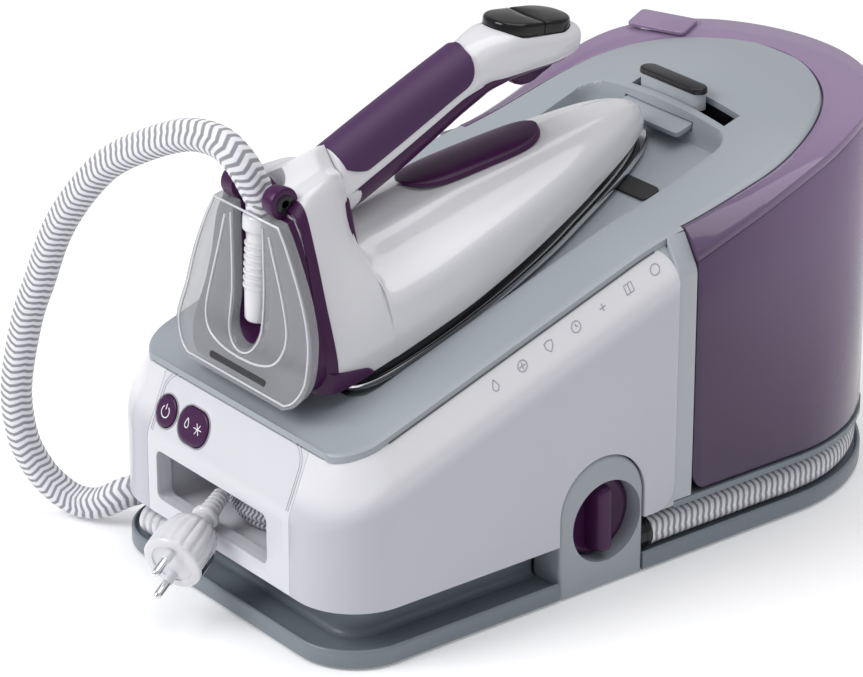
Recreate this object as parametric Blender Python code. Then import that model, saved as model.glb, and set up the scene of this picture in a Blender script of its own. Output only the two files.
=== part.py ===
"""Steam generator iron: a base station with a removable water tank and a corded steam iron on top.

Frame: +X is the side with the descaling knob, -Y is the front with the buttons, +Y is the water
tank and +Z is up. The origin is on the ground, under the middle of the body. Every length below is
in millimetres; the meshes and curves are made in metres.
"""

import math

import bmesh
import bpy
from mathutils import Matrix, Vector

MM = 0.001
FIT = 0.3                      # gap left between two pieces that touch

# ---------------------------------------------------------------- driving dimensions
HALF_WIDTH = 118.0
HALF_LENGTH = 232.3
CORNER_RADIUS = 40.0           # front corners in plan
BACK_CENTRE_Y = HALF_LENGTH - HALF_WIDTH
CORNER_X = HALF_WIDTH - CORNER_RADIUS
CORNER_Y = -HALF_LENGTH + CORNER_RADIUS

TRAY_BOTTOM = 1.0
FOOT_POCKET = 3.3
TRAY_FLOOR = 9.3
TRAY_LIP = 12.3
LIP_WIDTH = 3.0
GROOVE_INSET = 24.5            # plinth wall, measured in from the footprint
PLINTH_TOP = 34.2
BODY_BOTTOM = 36.0
PLATE_TOP = 38.3
WALL = 3.0

DECK_FRONT = (-216.0, 126.5)   # y and z of the deck's front edge
DECK_SLOPE = 0.341
DECK_INSET = 13.7
DECK_THICK = 4.4
CREASE_FRONT = 85.0
CREASE_SIDE = (-203.0, 108.1)
CREASE_SLOPE = 0.345
BODY_BACK = 12.7               # rear edge of the white shells
FRAME_BACK = 26.7              # rear face of the grey frame

HEEL_LEAN = 0.27
STAND_THICK = 6.0
STAND_BACK = [(14.0, -48.0), (20.0, -44.5), (31.0, -38.0), (53.0, -25.4), (101.0, -9.8), (110.0, -7.4)]
REST_SLOPE = math.radians(17.23)
IRON_ORIGIN = Vector((0.0, -168.0, 139.0))   # middle of the soleplate's heel, on its sliding face
RECESS_HALF = 63.8
RECESS_DEPTH = 2.0             # floor below the soleplate, along the slope
RECESS_FRONT = -178.0
RECESS_BACK = 97.3

KNOB_Y = -39.0
KNOB_Z = 42.0
TOWER_Y = -42.5
TOWER_HALF = 31.5
TOWER_TOP = 84.3

TANK_STEPS = 30

HOSE_RADIUS = 9.5
HOSE_INSET = 13.2
HOSE_Z = TRAY_FLOOR + HOSE_RADIUS + 0.5
CORD_RADIUS = 3.5


# ---------------------------------------------------------------- materials
COLOURS = {
    "white_gloss": ((0.86, 0.86, 0.88), 0.25, 0.0),
    "panel_white": ((0.80, 0.80, 0.84), 0.35, 0.0),
    "deck_grey": ((0.36, 0.39, 0.42), 0.5, 0.0),
    "tray_grey": ((0.22, 0.25, 0.28), 0.5, 0.0),
    "plum": ((0.10, 0.01, 0.10), 0.4, 0.0),
    "tank_purple": ((0.20, 0.11, 0.25), 0.15, 0.0),
    "smoke_clear": ((0.55, 0.56, 0.58), 0.1, 0.0),
    "graphite": ((0.03, 0.03, 0.04), 0.35, 0.0),
    "rubber": ((0.02, 0.02, 0.02), 0.8, 0.0),
    "steel": ((0.60, 0.60, 0.62), 0.3, 1.0),
    "aluminium": ((0.70, 0.70, 0.72), 0.4, 1.0),
    "brass": ((0.70, 0.52, 0.22), 0.35, 1.0),
    "board_green": ((0.02, 0.18, 0.07), 0.6, 0.0),
    "braid": ((0.62, 0.63, 0.65), 0.9, 0.0),
}


def material(name):
    found = bpy.data.materials.get(name)
    if found:
        return found
    colour, roughness, metallic = COLOURS[name]
    made = bpy.data.materials.new(name)
    made.use_nodes = True
    shader = made.node_tree.nodes["Principled BSDF"]
    shader.inputs["Base Color"].default_value = (*colour, 1.0)
    shader.inputs["Roughness"].default_value = roughness
    shader.inputs["Metallic"].default_value = metallic
    return made


# ---------------------------------------------------------------- modelling tools
def clear_scene():
    for obj in list(bpy.data.objects):
        bpy.data.objects.remove(obj, do_unlink=True)


def finish_mesh(name, bm, finish, parent=None):
    bmesh.ops.recalc_face_normals(bm, faces=bm.faces)
    mesh = bpy.data.meshes.new(name)
    bm.to_mesh(mesh)
    bm.free()
    mesh.shade_smooth()
    mesh.set_sharp_from_angle(angle=math.radians(32))
    mesh.materials.append(material(finish))
    obj = bpy.data.objects.new(name, mesh)
    bpy.context.scene.collection.objects.link(obj)
    if parent:
        obj.parent = parent
    return obj


def loft(name, rings, finish, parent=None, closed=False):
    """A skin over rings of equally many points; capped at both ends, or closed into a loop."""
    bm = bmesh.new()
    rows = [[bm.verts.new(Vector(point) * MM) for point in ring] for ring in rings]
    count = len(rows[0])
    last = len(rows) if closed else len(rows) - 1
    for i in range(last):
        here = rows[i]
        there = rows[(i + 1) % len(rows)]
        for j in range(count):
            k = (j + 1) % count
            bm.faces.new((here[j], here[k], there[k], there[j]))
    if not closed:
        bm.faces.new(rows[0])
        bm.faces.new(rows[-1])
    return finish_mesh(name, bm, finish, parent)


def prism(name, outline, low, high, finish, parent=None):
    rings = [[(x, y, z) for x, y in outline] for z in (low, high)]
    return loft(name, rings, finish, parent)


def box(name, low, high, finish, parent=None):
    outline = [(low[0], low[1]), (high[0], low[1]), (high[0], high[1]), (low[0], high[1])]
    return prism(name, outline, low[2], high[2], finish, parent)


def turned(name, profile, start, axis, finish, parent=None, sides=24):
    """A solid turned about an axis: the profile lists (distance along the axis, radius)."""
    turn = Vector(axis).normalized().to_track_quat("Z", "Y").to_matrix()
    rings = []
    for along, radius in profile:
        ring = []
        for i in range(sides):
            angle = 2 * math.pi * i / sides
            local = Vector((radius * math.cos(angle), radius * math.sin(angle), along))
            ring.append(Vector(start) + turn @ local)
        rings.append(ring)
    return loft(name, rings, finish, parent)


def grid_solid(name, top, bottom, finish, parent=None):
    """A plate between two grids of points with the same rows and columns."""
    bm = bmesh.new()
    upper = [[bm.verts.new(Vector(p) * MM) for p in row] for row in top]
    lower = [[bm.verts.new(Vector(p) * MM) for p in row] for row in bottom]
    rows = len(upper)
    columns = len(upper[0])
    for i in range(rows - 1):
        for j in range(columns - 1):
            for grid in (upper, lower):
                bm.faces.new((grid[i][j], grid[i][j + 1], grid[i + 1][j + 1], grid[i + 1][j]))
    rim = [(0, j) for j in range(columns)]
    rim += [(i, columns - 1) for i in range(1, rows)]
    rim += [(rows - 1, j) for j in range(columns - 2, -1, -1)]
    rim += [(i, 0) for i in range(rows - 2, 0, -1)]
    for (a, b), (c, d) in zip(rim, rim[1:] + rim[:1]):
        bm.faces.new((upper[a][b], upper[c][d], lower[c][d], lower[a][b]))
    return finish_mesh(name, bm, finish, parent)


def cut(obj, cutter):
    cutter.hide_render = True
    cutter.display_type = "WIRE"
    step = obj.modifiers.new("cut_" + cutter.name, "BOOLEAN")
    step.operation = "DIFFERENCE"
    step.object = cutter


def cutter_box(name, low, high, parent=None):
    made = box(name, low, high, "rubber", parent)
    made.hide_render = True
    made.display_type = "WIRE"
    return made


def tube(name, points, radius, finish, sides=3):
    """A round cord along a list of points."""
    curve = bpy.data.curves.new(name, "CURVE")
    curve.dimensions = "3D"
    curve.bevel_depth = radius * MM
    curve.bevel_resolution = sides
    curve.use_fill_caps = True
    spline = curve.splines.new("POLY")
    spline.points.add(len(points) - 1)
    for slot, point in zip(spline.points, points):
        slot.co = (*(Vector(point) * MM), 1.0)
    curve.materials.append(material(finish))
    obj = bpy.data.objects.new(name, curve)
    bpy.context.scene.collection.objects.link(obj)
    return obj


def arc(centre, radius, start, end, steps):
    return [
        (
            centre[0] + radius * math.cos(math.radians(start + (end - start) * i / steps)),
            centre[1] + radius * math.sin(math.radians(start + (end - start) * i / steps)),
        )
        for i in range(steps + 1)
    ]


def rounded_rectangle(low, high, radius, steps=3):
    """Corner points of a rectangle with rounded corners, anticlockwise."""
    x0, y0 = low
    x1, y1 = high
    points = arc((x1 - radius, y1 - radius), radius, 0, 90, steps)
    points += arc((x0 + radius, y1 - radius), radius, 90, 180, steps)
    points += arc((x0 + radius, y0 + radius), radius, 180, 270, steps)
    points += arc((x1 - radius, y0 + radius), radius, 270, 360, steps)
    return points


def smooth_step(value, low, high):
    t = min(1.0, max(0.0, (value - low) / (high - low)))
    return t * t * (3 - 2 * t)


def between(value, knots):
    """A smooth curve through (position, height) knots, read at one position."""
    if value <= knots[0][0]:
        return knots[0][1]
    for i in range(len(knots) - 1):
        if value <= knots[i + 1][0]:
            before = knots[max(i - 1, 0)]
            a, b = knots[i], knots[i + 1]
            after = knots[min(i + 2, len(knots) - 1)]
            span = b[0] - a[0]
            t = (value - a[0]) / span
            leave = (b[1] - before[1]) / (b[0] - before[0]) * span
            enter = (after[1] - a[1]) / (after[0] - a[0]) * span
            return (
                (2 * t**3 - 3 * t**2 + 1) * a[1]
                + (t**3 - 2 * t**2 + t) * leave
                + (3 * t**2 - 2 * t**3) * b[1]
                + (t**3 - t**2) * enter
            )
    return knots[-1][1]


def through(points, spacing):
    """Evenly spaced points on a smooth curve through route points."""
    route = [Vector(p) for p in points]
    route = [2 * route[0] - route[1]] + route + [2 * route[-1] - route[-2]]
    fine = []
    for i in range(1, len(route) - 2):
        p0, p1, p2, p3 = route[i - 1 : i + 3]
        for step in range(40):
            t = step / 40
            fine.append(
                0.5
                * (
                    2 * p1
                    + (p2 - p0) * t
                    + (2 * p0 - 5 * p1 + 4 * p2 - p3) * t * t
                    + (3 * p1 - p0 - 3 * p2 + p3) * t**3
                )
            )
    fine.append(route[-2])
    total = sum((b - a).length for a, b in zip(fine, fine[1:]))
    pieces = max(2, round(total / spacing))
    wanted = [total * i / pieces for i in range(pieces + 1)]
    found = [fine[0]]
    walked = 0.0
    for a, b in zip(fine, fine[1:]):
        length = (b - a).length
        while len(found) < pieces and walked + length >= wanted[len(found)]:
            found.append(a.lerp(b, (wanted[len(found)] - walked) / length))
        walked += length
    found.append(fine[-1])
    return found


# ---------------------------------------------------------------- the body's own surfaces
def footprint(inset, back_steps=22, corner_steps=5):
    """The outline of the body in plan: rounded front corners and a half-round back."""
    points = arc((0, BACK_CENTRE_Y), HALF_WIDTH - inset, 0, 180, back_steps)
    points += arc((-CORNER_X, CORNER_Y), CORNER_RADIUS - inset, 180, 270, corner_steps)
    points += arc((CORNER_X, CORNER_Y), CORNER_RADIUS - inset, 270, 360, corner_steps)
    return points


def flat(points, height):
    return [(x, y, height) for x, y in points]


def deck_plane(y):
    return DECK_FRONT[1] + DECK_SLOPE * (y - DECK_FRONT[0])


def deck_middle(y):
    """Height of the deck along its middle line; it levels out over the tank."""
    knots = [
        (-216.0, deck_plane(-216.0)),
        (-100.0, deck_plane(-100.0)),
        (0.0, deck_plane(0.0)),
        (40.0, deck_plane(40.0) - 0.5),
        (107.0, 240.0),
        (150.0, 248.0),
        (196.0, 246.5),
    ]
    return between(y, knots)


def deck_top(x, y):
    crown = 15.5 * smooth_step(y, -10.0, 120.0)
    return deck_middle(y) - crown * (x / 100.0) ** 2


def rest_floor(y):
    """Height of the recess floor, which lies parallel to the soleplate."""
    drop = RECESS_DEPTH / math.cos(REST_SLOPE)
    return IRON_ORIGIN.z - drop + math.tan(REST_SLOPE) * (y - IRON_ORIGIN.y)


def crease_height(y):
    return CREASE_SIDE[1] + CREASE_SLOPE * (y - CREASE_SIDE[0])


def rim_height(y):
    """The line round the tank between its wall and its cover."""
    knots = [(26.0, 187.4), (80.0, 205.4), (125.0, 223.0), (160.0, 233.5), (200.0, 238.0), (233.0, 238.5)]
    return between(y, knots)


def tank_side(position, inset, stretch=0.0):
    """Plan points of the tank's outer wall, the deck's rim and the tank's inner wall.

    position runs from 0 at the right front end, round the back, to 1 at the left front end.
    """
    front = FRAME_BACK + 0.8 + inset
    curves = {
        "outer": (HALF_WIDTH - 1.0, BACK_CENTRE_Y, HALF_WIDTH - 1.0),
        "rim": (101.1, 88.0, 108.4),
        "inner": (82.0, 88.0, 85.0),
    }
    straight = 0.22
    points = {}
    for name, (half, centre, depth) in curves.items():
        change = inset if name == "inner" else -inset
        a, b = half + change, depth + change
        if position < straight:
            points[name] = (a, front + (centre - front) * position / straight)
        elif position > 1 - straight:
            points[name] = (-a, front + (centre - front) * (1 - position) / straight)
        else:
            angle = math.pi * (position - straight) / (1 - 2 * straight)
            points[name] = (a * math.cos(angle), centre + b * math.sin(angle))
    return points


# ---------------------------------------------------------------- base
def build_tray():
    rings = [
        flat(footprint(1.0), TRAY_BOTTOM),
        flat(footprint(0.0), TRAY_BOTTOM + 1.2),
        flat(footprint(0.0), TRAY_LIP - 1.0),
        flat(footprint(0.8), TRAY_LIP),
        flat(footprint(LIP_WIDTH - 0.4), TRAY_LIP),
        flat(footprint(LIP_WIDTH), TRAY_LIP - 0.6),
        flat(footprint(LIP_WIDTH), TRAY_FLOOR),
    ]
    tray = loft("base_tray", rings, "tray_grey")
    notch = cutter_box(
        "tray_notch", (93.0, TOWER_Y - TOWER_HALF - FIT, -1.0), (125.0, TOWER_Y + TOWER_HALF + FIT, 20.0)
    )
    cut(tray, notch)
    for side, x in (("left", -80.0), ("right", 80.0)):
        for end, y in (("front", -190.0), ("rear", 150.0)):
            name = f"foot_{end}_{side}"
            profile = [(0.0, 8.0), (0.6, 9.0), (FOOT_POCKET - FIT, 9.0)]
            turned(name, profile, (x, y, 0.0), (0, 0, 1), "rubber", sides=20)
            pocket = [(-5.0, 9.4), (FOOT_POCKET, 9.4)]
            cut(tray, turned(name + "_pocket", pocket, (x, y, 0.0), (0, 0, 1), "rubber", sides=20))


def build_plinth():
    wall = 2.5
    rings = [
        flat(footprint(GROOVE_INSET), TRAY_FLOOR + FIT),
        flat(footprint(GROOVE_INSET), PLINTH_TOP),
        flat(footprint(GROOVE_INSET + wall), PLINTH_TOP),
        flat(footprint(GROOVE_INSET + wall), TRAY_FLOOR + 2.3),
    ]
    plinth = loft("base_plinth", rings, "tray_grey")
    cut(plinth, cutter_box("plinth_notch", (30.0, -76.0, 0.0), (100.0, -8.0, 50.0)))


def front_half(inset, back):
    points = [(HALF_WIDTH - inset, back), (-HALF_WIDTH + inset, back)]
    points += arc((-CORNER_X, CORNER_Y), CORNER_RADIUS - inset, 180, 270, 5)
    points += arc((CORNER_X, CORNER_Y), CORNER_RADIUS - inset, 270, 360, 5)
    return points


def build_plates():
    outline = front_half(WALL + 0.8, BODY_BACK)
    plate = prism("chassis_plate", outline, PLINTH_TOP + FIT, PLATE_TOP, "tray_grey")
    cut(plate, cutter_box("plate_notch", (30.0, TOWER_Y - TOWER_HALF - 1.5, 20.0), (125.0, -8.0, 60.0)))
    rear = arc((0, BACK_CENTRE_Y), HALF_WIDTH - 0.6, 0, 180, 22)
    rear += [(-HALF_WIDTH + 0.6, BODY_BACK + FIT), (HALF_WIDTH - 0.6, BODY_BACK + FIT)]
    prism("tank_platform", rear, PLINTH_TOP + FIT, PLATE_TOP, "tray_grey")


def wall_station(x, y, normal, frontness):
    """One upright section of the shell: outer face with its crease, then the inner face."""
    crease = crease_height(y) * (1 - frontness) + CREASE_FRONT * frontness
    lean = DECK_INSET - 0.3 + 1.3 * frontness
    top = deck_top(x + normal[0] * lean, y + normal[1] * lean) - DECK_THICK - 2 * FIT
    soft = 5.0
    slope = lean / (top - crease)
    outer = [
        (0.0, BODY_BOTTOM),
        (0.0, crease - soft),
        (0.25 * slope * soft, crease + 0.2),
        (slope * soft, crease + soft),
        (lean, top),
    ]
    section = outer + [(depth + WALL, height) for depth, height in reversed(outer)]
    return [(x + normal[0] * d, y + normal[1] * d, z) for d, z in section]


def build_shells():
    seam = CORNER_X - 8.0
    for side, sign in (("left", -1), ("right", 1)):
        stations = []
        for y in (BODY_BACK, -60.0, -130.0):
            stations.append(wall_station(sign * HALF_WIDTH, y, (-sign, 0), 0.0))
        for i in range(9):
            turn = math.radians(90 * i / 8)
            normal = (-sign * math.cos(turn), math.sin(turn))
            x = sign * CORNER_X - CORNER_RADIUS * normal[0]
            y = CORNER_Y - CORNER_RADIUS * normal[1]
            stations.append(wall_station(x, y, normal, math.sin(turn) ** 2))
        stations.append(wall_station(sign * (seam + FIT), -HALF_LENGTH, (0, 1), 1.0))
        shell = loft(f"side_shell_{side}", stations, "white_gloss")
        if side == "right":
            cut(shell, tower_solid("tower_clearance", 90.0, 130.0, 0.6, "rubber"))
    stations = [wall_station(x, -HALF_LENGTH, (0, 1), 1.0) for x in (-seam, seam)]
    panel = loft("front_panel", stations, "panel_white")
    opening = rounded_rectangle((-61.0, 46.5), (48.5, 78.0), 5.0)
    rings = [[(x, y, z) for x, z in opening] for y in (-250.0, -220.0)]
    cut(panel, loft("compartment_opening", rings, "rubber"))
    return panel


def build_compartment():
    outer = rounded_rectangle((-66.0, 40.0), (56.0, 82.0), 5.0)
    inner = rounded_rectangle((-63.8, 42.2), (53.8, 79.8), 3.5)
    front, back = -HALF_LENGTH + WALL + FIT, -112.0
    rings = [
        [(x, front, z) for x, z in inner],
        [(x, front, z) for x, z in outer],
        [(x, back, z) for x, z in outer],
    ]
    rings = [[(x, back - 2.0, z) for x, z in inner]] + rings
    loft("cord_compartment", rings, "panel_white")


def face_frame(height):
    """A point and the outward normal on the leaning upper face of the front panel."""
    lean = DECK_INSET + 1.0
    top = deck_plane(-HALF_LENGTH + lean) - DECK_THICK - FIT
    run = lean / (top - CREASE_FRONT)
    y = -HALF_LENGTH + run * (height - CREASE_FRONT)
    return y, Vector((0, -1, run)).normalized()


def build_buttons(panel):
    height = 101.5
    y, normal = face_frame(height)
    for name, x, half, radius in (("power_button", -58.0, 9.4, 9.4), ("steam_button", -31.0, 14.0, 10.0)):
        side = radius if name == "power_button" else 10.6
        turn = Matrix((Vector((1, 0, 0)), normal.cross(Vector((1, 0, 0))), normal)).transposed()
        centre = Vector((x, y, height))
        for kind, grow, low, high in (("button", 0.0, -4.5, 1.2), ("hole", 0.6, -10.0, 6.0)):
            outline = rounded_rectangle(
                (-half - grow, -side - grow), (half + grow, side + grow), radius + grow - 0.01, 5
            )
            rings = [[centre + turn @ Vector((u, v, w)) for u, v in outline] for w in (low, high)]
            if kind == "button":
                loft(name, rings, "plum")
            else:
                cut(panel, loft(name + "_hole", rings, "rubber"))


def build_deck():
    """The grey top: a sloping plate with the recess that the iron rests in."""
    skin = 3.0
    rows = [-217.3, -214.0, -207.0, -197.0, -185.0, RECESS_FRONT - skin, RECESS_FRONT - 0.3]
    rows += [RECESS_FRONT + 0.3, -120.0, -60.0, 0.0, 26.3, 26.5, 60.0, 88.0]
    rows += [RECESS_BACK, RECESS_BACK + 0.3, RECESS_BACK + skin, RECESS_BACK + skin + 0.3]
    rows += [120.0, 136.0, 152.0, 166.0, 178.0, 187.0, 193.0]
    top, bottom = [], []
    for y in rows:
        if y < CORNER_Y:
            reach = CORNER_RADIUS - DECK_INSET
            width = CORNER_X + math.sqrt(reach**2 - (CORNER_Y - y) ** 2)
        elif y <= 26.4:
            width = HALF_WIDTH - DECK_INSET
        elif y <= 88.0:
            width = 100.0
        else:
            width = 100.0 * math.sqrt(1 - ((y - 88.0) / 107.0) ** 2)
        wall = min(RECESS_HALF, 0.66 * width)
        half = [0.0, 0.45 * wall, 0.8 * wall, wall - 0.8, wall, wall + skin]
        half += [0.5 * (wall + skin + width), width]
        columns = [-x for x in reversed(half[1:])] + half
        top_row, bottom_row = [], []
        for x in columns:
            surface = deck_top(x, y)
            under = surface - DECK_THICK
            in_x = abs(x) <= wall - 0.7
            if in_x and RECESS_FRONT < y <= RECESS_BACK:
                surface = rest_floor(y)
            if abs(x) <= wall + 0.1 and RECESS_FRONT - skin < y <= RECESS_BACK + skin + 0.1:
                under = min(under, rest_floor(y) - skin)
            top_row.append((x, y, surface))
            bottom_row.append((x, y, under))
        top.append(top_row)
        bottom.append(bottom_row)
    deck = grid_solid("top_deck", top, bottom, "deck_grey")
    cut(deck, cutter_box("slider_slot", (-31.0, 102.2, 200.0), (53.0, 114.8, 270.0)))
    cut(deck, cutter_box("tongue_slot", (-31.0, 270.0, 4.6), (31.0, 296.0, 9.6), iron_frame()))


def build_rear_frame():
    outline = [
        (-117.4, PLATE_TOP + FIT),
        (117.4, PLATE_TOP + FIT),
        (117.4, 181.0),
        (116.4, 185.5),
        (104.9, 204.0),
        (104.9, 193.0),
        (98.0, 188.0),
        (-98.0, 188.0),
        (-104.9, 193.0),
        (-104.9, 204.0),
        (-116.4, 185.5),
        (-117.4, 181.0),
    ]
    rings = [[(x, y, z) for x, z in outline] for y in (BODY_BACK + FIT, FRAME_BACK)]
    loft("rear_frame", rings, "deck_grey")


def build_rear_column():
    rings = []
    for inset, height in ((0.0, PLATE_TOP + FIT), (0.0, 187.0), (2.5, 187.0), (2.5, PLATE_TOP + 3.0)):
        front = FRAME_BACK + FIT + inset
        half, depth = 80.0 - inset, 83.0 - inset
        ring = [
            (half * math.cos(math.pi * i / 18), 88.0 + depth * math.sin(math.pi * i / 18), height)
            for i in range(19)
        ]
        rings.append(ring + [(-half, front, height), (half, front, height)])
    loft("rear_column", rings, "tray_grey")


def tower_solid(name, inner, outer, grow, finish):
    half = TOWER_HALF + grow
    middle = TOWER_TOP - TOWER_HALF
    outline = [(TOWER_Y - half, 1.0 - grow), (TOWER_Y + half, 1.0 - grow)]
    outline += arc((TOWER_Y, middle), half, 0, 180, 14)
    rings = [[(x, y, z) for y, z in outline] for x in (inner, outer)]
    return loft(name, rings, finish)


def build_descaler():
    tower = tower_solid("knob_tower", 94.0, 117.6, 0.0, "deck_grey")
    axis = (1, 0, 0)
    bore = turned("knob_bore", [(0, 25.6), (60, 25.6)], (80.0, KNOB_Y, KNOB_Z), axis, "rubber", sides=32)
    cut(tower, bore)
    seat = [(0.0, 24.4), (57.0, 24.4), (57.0, 22.4), (3.0, 22.4)]
    turned("cartridge_seat", seat, (36.0, KNOB_Y, KNOB_Z), axis, "white_gloss", sides=28)
    body = [(0.0, 15.0), (3.0, 18.5), (44.0, 18.5), (44.0, 16.5), (47.0, 16.5), (47.0, 18.5), (58.0, 18.5)]
    turned("descale_cartridge", body, (42.0, KNOB_Y, KNOB_Z), axis, "white_gloss", sides=28)
    rings = []
    for radius, along in ((16.8, 44.3), (21.6, 44.3), (21.6, 46.7), (16.8, 46.7)):
        rings.append(
            [
                (
                    42.0 + along,
                    KNOB_Y + radius * math.cos(2 * math.pi * i / 28),
                    KNOB_Z + radius * math.sin(2 * math.pi * i / 28),
                )
                for i in range(28)
            ]
        )
    loft("cartridge_seal", rings, "rubber", closed=True)
    hub = bpy.data.objects.new("knob_axis", None)
    hub.location = Vector((100.3, KNOB_Y, KNOB_Z)) * MM
    bpy.context.scene.collection.objects.link(hub)
    knob_profile = [(0.0, 23.0), (1.0, 24.6), (6.5, 24.6), (8.0, 23.0)]
    knob = turned("descale_knob", knob_profile, (0, 0, 0), axis, "plum", hub, 32)
    bar = rounded_rectangle((-6.5, -22.0), (6.5, 22.0), 6.0, 4)
    rings = [[(x, y, z) for y, z in bar] for x in (5.0, 17.0)]
    grip = loft("knob_grip", rings, "plum", hub)
    grip.hide_render = True
    grip.display_type = "WIRE"
    join = knob.modifiers.new("grip", "BOOLEAN")
    join.operation = "UNION"
    join.object = grip


def build_inside():
    end = [(0.0, 12.0), (3.0, 34.0), (12.0, 44.0), (20.0, 46.0)]
    boiler = end + [(110.0 - place, radius) for place, radius in reversed(end)]
    turned("boiler", boiler, (-82.0, -50.0, 100.0), (1, 0, 0), "aluminium", sides=28)
    flange = [(0.0, 20.0), (4.0, 24.0), (7.0, 24.0)]
    turned("boiler_element", flange, (-90.0, -50.0, 100.0), (1, 0, 0), "brass")
    valve = [(0.0, 9.0), (4.0, 9.0), (4.0, 12.0), (13.0, 12.0), (16.0, 7.0)]
    turned("steam_valve", valve, (-27.0, -50.0, 146.4), (0, 0, 1), "brass", sides=20)
    pump = [(0.0, 14.0), (6.0, 21.0), (48.0, 21.0), (54.0, 12.0), (66.0, 8.0)]
    turned("pump", pump, (0.0, 50.0, 84.0), (0, 1, 0), "graphite", sides=24)
    box("control_board", (-103.0, -175.0, 56.0), (-101.2, -100.0, 112.0), "board_green")


# ---------------------------------------------------------------- water tank
def tank_ring(inset, height):
    """The tank's U outline in plan at one inset, with a height for each point."""
    steps = TANK_STEPS
    outer = [tank_side(i / steps, inset)["outer"] for i in range(steps + 1)]
    inner = [tank_side(i / steps, inset)["inner"] for i in range(steps, -1, -1)]
    return [(x, y, height(y)) for x, y in outer + inner]


def build_tank():
    floor = PLATE_TOP + 0.7
    rings = [
        tank_ring(2.0, lambda y: floor),
        tank_ring(0.6, lambda y: floor + 3.0),
        tank_ring(0.6, lambda y: rim_height(y) - 0.6),
        tank_ring(2.8, lambda y: rim_height(y) - 0.6),
        tank_ring(2.8, lambda y: floor + 3.0),
    ]
    loft("water_tank", rings, "tank_purple")
    sections = []
    for i in range(TANK_STEPS + 1):
        here = tank_side(i / TANK_STEPS, 0.0)
        outer, rim, inner = (Vector(here[name]) for name in ("outer", "rim", "inner"))
        away = (outer - rim).normalized()
        thick = 2.2
        low = rim_height(outer.y)
        room = DECK_THICK + thick + 3 * FIT
        low_rim = min(rim_height(rim.y), deck_top(rim.x, rim.y) - room)
        low_inner = min(rim_height(inner.y), deck_top(inner.x, inner.y) - room)
        high = deck_top(rim.x, rim.y) - 0.6
        section = [
            (inner, low_inner),
            (rim + away * thick, low_rim),
            (rim + away * thick, high - 2.6 * thick),
            (outer - away * 1.2 * thick, low),
            (outer, low),
            (outer, low + 3.0),
            (outer - away * 1.0, low + 5.5),
            (rim + away * 3.0, high),
            (rim, high - 1.0),
            (rim, low_rim + thick),
            (inner, low_inner + thick),
        ]
        sections.append([(p.x, p.y, z) for p, z in section])
    cover = loft("tank_cover", sections, "tank_purple")
    build_flap(cover)


def build_flap(cover):
    """The filler flap, on the sloping rim at the left rear of the tank."""
    here = tank_side(0.66, 0.0)
    outer, rim = Vector(here["outer"]), Vector(here["rim"])
    low = Vector((outer.x, outer.y, rim_height(outer.y) + 5.5))
    high = Vector((rim.x, rim.y, deck_top(rim.x, rim.y) - 0.6))
    down = (low - high).normalized()
    along = Vector((0, 0, 1)).cross(down).normalized()
    normal = down.cross(along)
    middle = (low + high) / 2
    width = (low - high).length
    turn = Matrix((along, down, normal)).transposed().to_4x4()
    hinge = bpy.data.objects.new("flap_axis", None)
    hinge.matrix_world = Matrix.Translation((middle - down * (0.16 * width) + normal * 2.2) * MM) @ turn
    bpy.context.scene.collection.objects.link(hinge)
    flap = rounded_rectangle((-20.0, 0.0), (20.0, 0.62 * width), 3.0)
    prism("tank_flap", flap, 0.0, 2.2, "tank_purple", hinge)
    hole = rounded_rectangle((-16.0, 3.0), (16.0, 0.50 * width), 3.0)
    cutter = prism("filler_hole", hole, -14.0, 6.0, "rubber", hinge)
    cut(cover, cutter)


def build_lock():
    y = 108.5
    middle = deck_top(0, y)
    outline = rounded_rectangle((-28.0, y - 5.6), (28.0, y + 5.6), 5.5, 4)
    prism("lock_slider", outline, middle - 5.4, middle + 8.6, "graphite")
    tongue = rounded_rectangle((-30.0, 267.5), (30.0, 290.0), 2.0, 2)
    prism("lock_tongue", tongue, 5.6, 8.8, "deck_grey", iron_frame())


# ---------------------------------------------------------------- iron
def iron_frame():
    """The empty that carries the iron: y runs from heel to tip along the sole, z away from it."""
    found = bpy.data.objects.get("iron_frame")
    if found:
        return found
    frame = bpy.data.objects.new("iron_frame", None)
    frame.location = IRON_ORIGIN * MM
    frame.rotation_euler = (REST_SLOPE, 0, 0)
    bpy.context.scene.collection.objects.link(frame)
    return frame


SOLE_KNOTS = [
    (-8.0, 38.0),
    (-5.0, 50.0),
    (4.0, 57.0),
    (20.0, 60.5),
    (45.0, 61.5),
    (75.0, 60.5),
    (110.0, 57.0),
    (150.0, 50.0),
    (182.0, 41.5),
    (208.0, 34.0),
    (230.0, 26.5),
    (248.0, 18.5),
    (259.0, 11.0),
    (264.5, 5.0),
]
TIP = 266.0


def sole_outline(inset, tip=TIP):
    scale = (tip - 30.0) / (TIP - 30.0)
    right = []
    for s, half in SOLE_KNOTS:
        place = s + inset if s < 0 else (s if s < 30 else 30 + (s - 30) * scale)
        right.append((max(half - inset, 1.5), place))
    left = [(-x, s) for x, s in reversed(right)]
    return right + [(0.0, tip - 0.6 * inset)] + left


def build_sole(frame):
    rings = [
        flat(sole_outline(2.5), 0.0),
        flat(sole_outline(0.5), 1.2),
        flat(sole_outline(0.0), 2.4),
        flat(sole_outline(0.4), 4.7),
    ]
    loft("soleplate", rings, "steel", frame)
    prism("heater_casting", sole_outline(9.0, 236.0), 5.0, 11.6, "aluminium", frame)
    rings = [
        flat(sole_outline(1.2, 259.0), 5.0),
        flat(sole_outline(0.6, 259.5), 9.0),
        flat(sole_outline(1.6, 259.0), 12.0),
        flat(sole_outline(7.0, 250.0), 12.0),
        flat(sole_outline(7.0, 250.0), 5.0),
    ]
    loft("iron_skirt", rings, "graphite", frame, closed=True)


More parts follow.
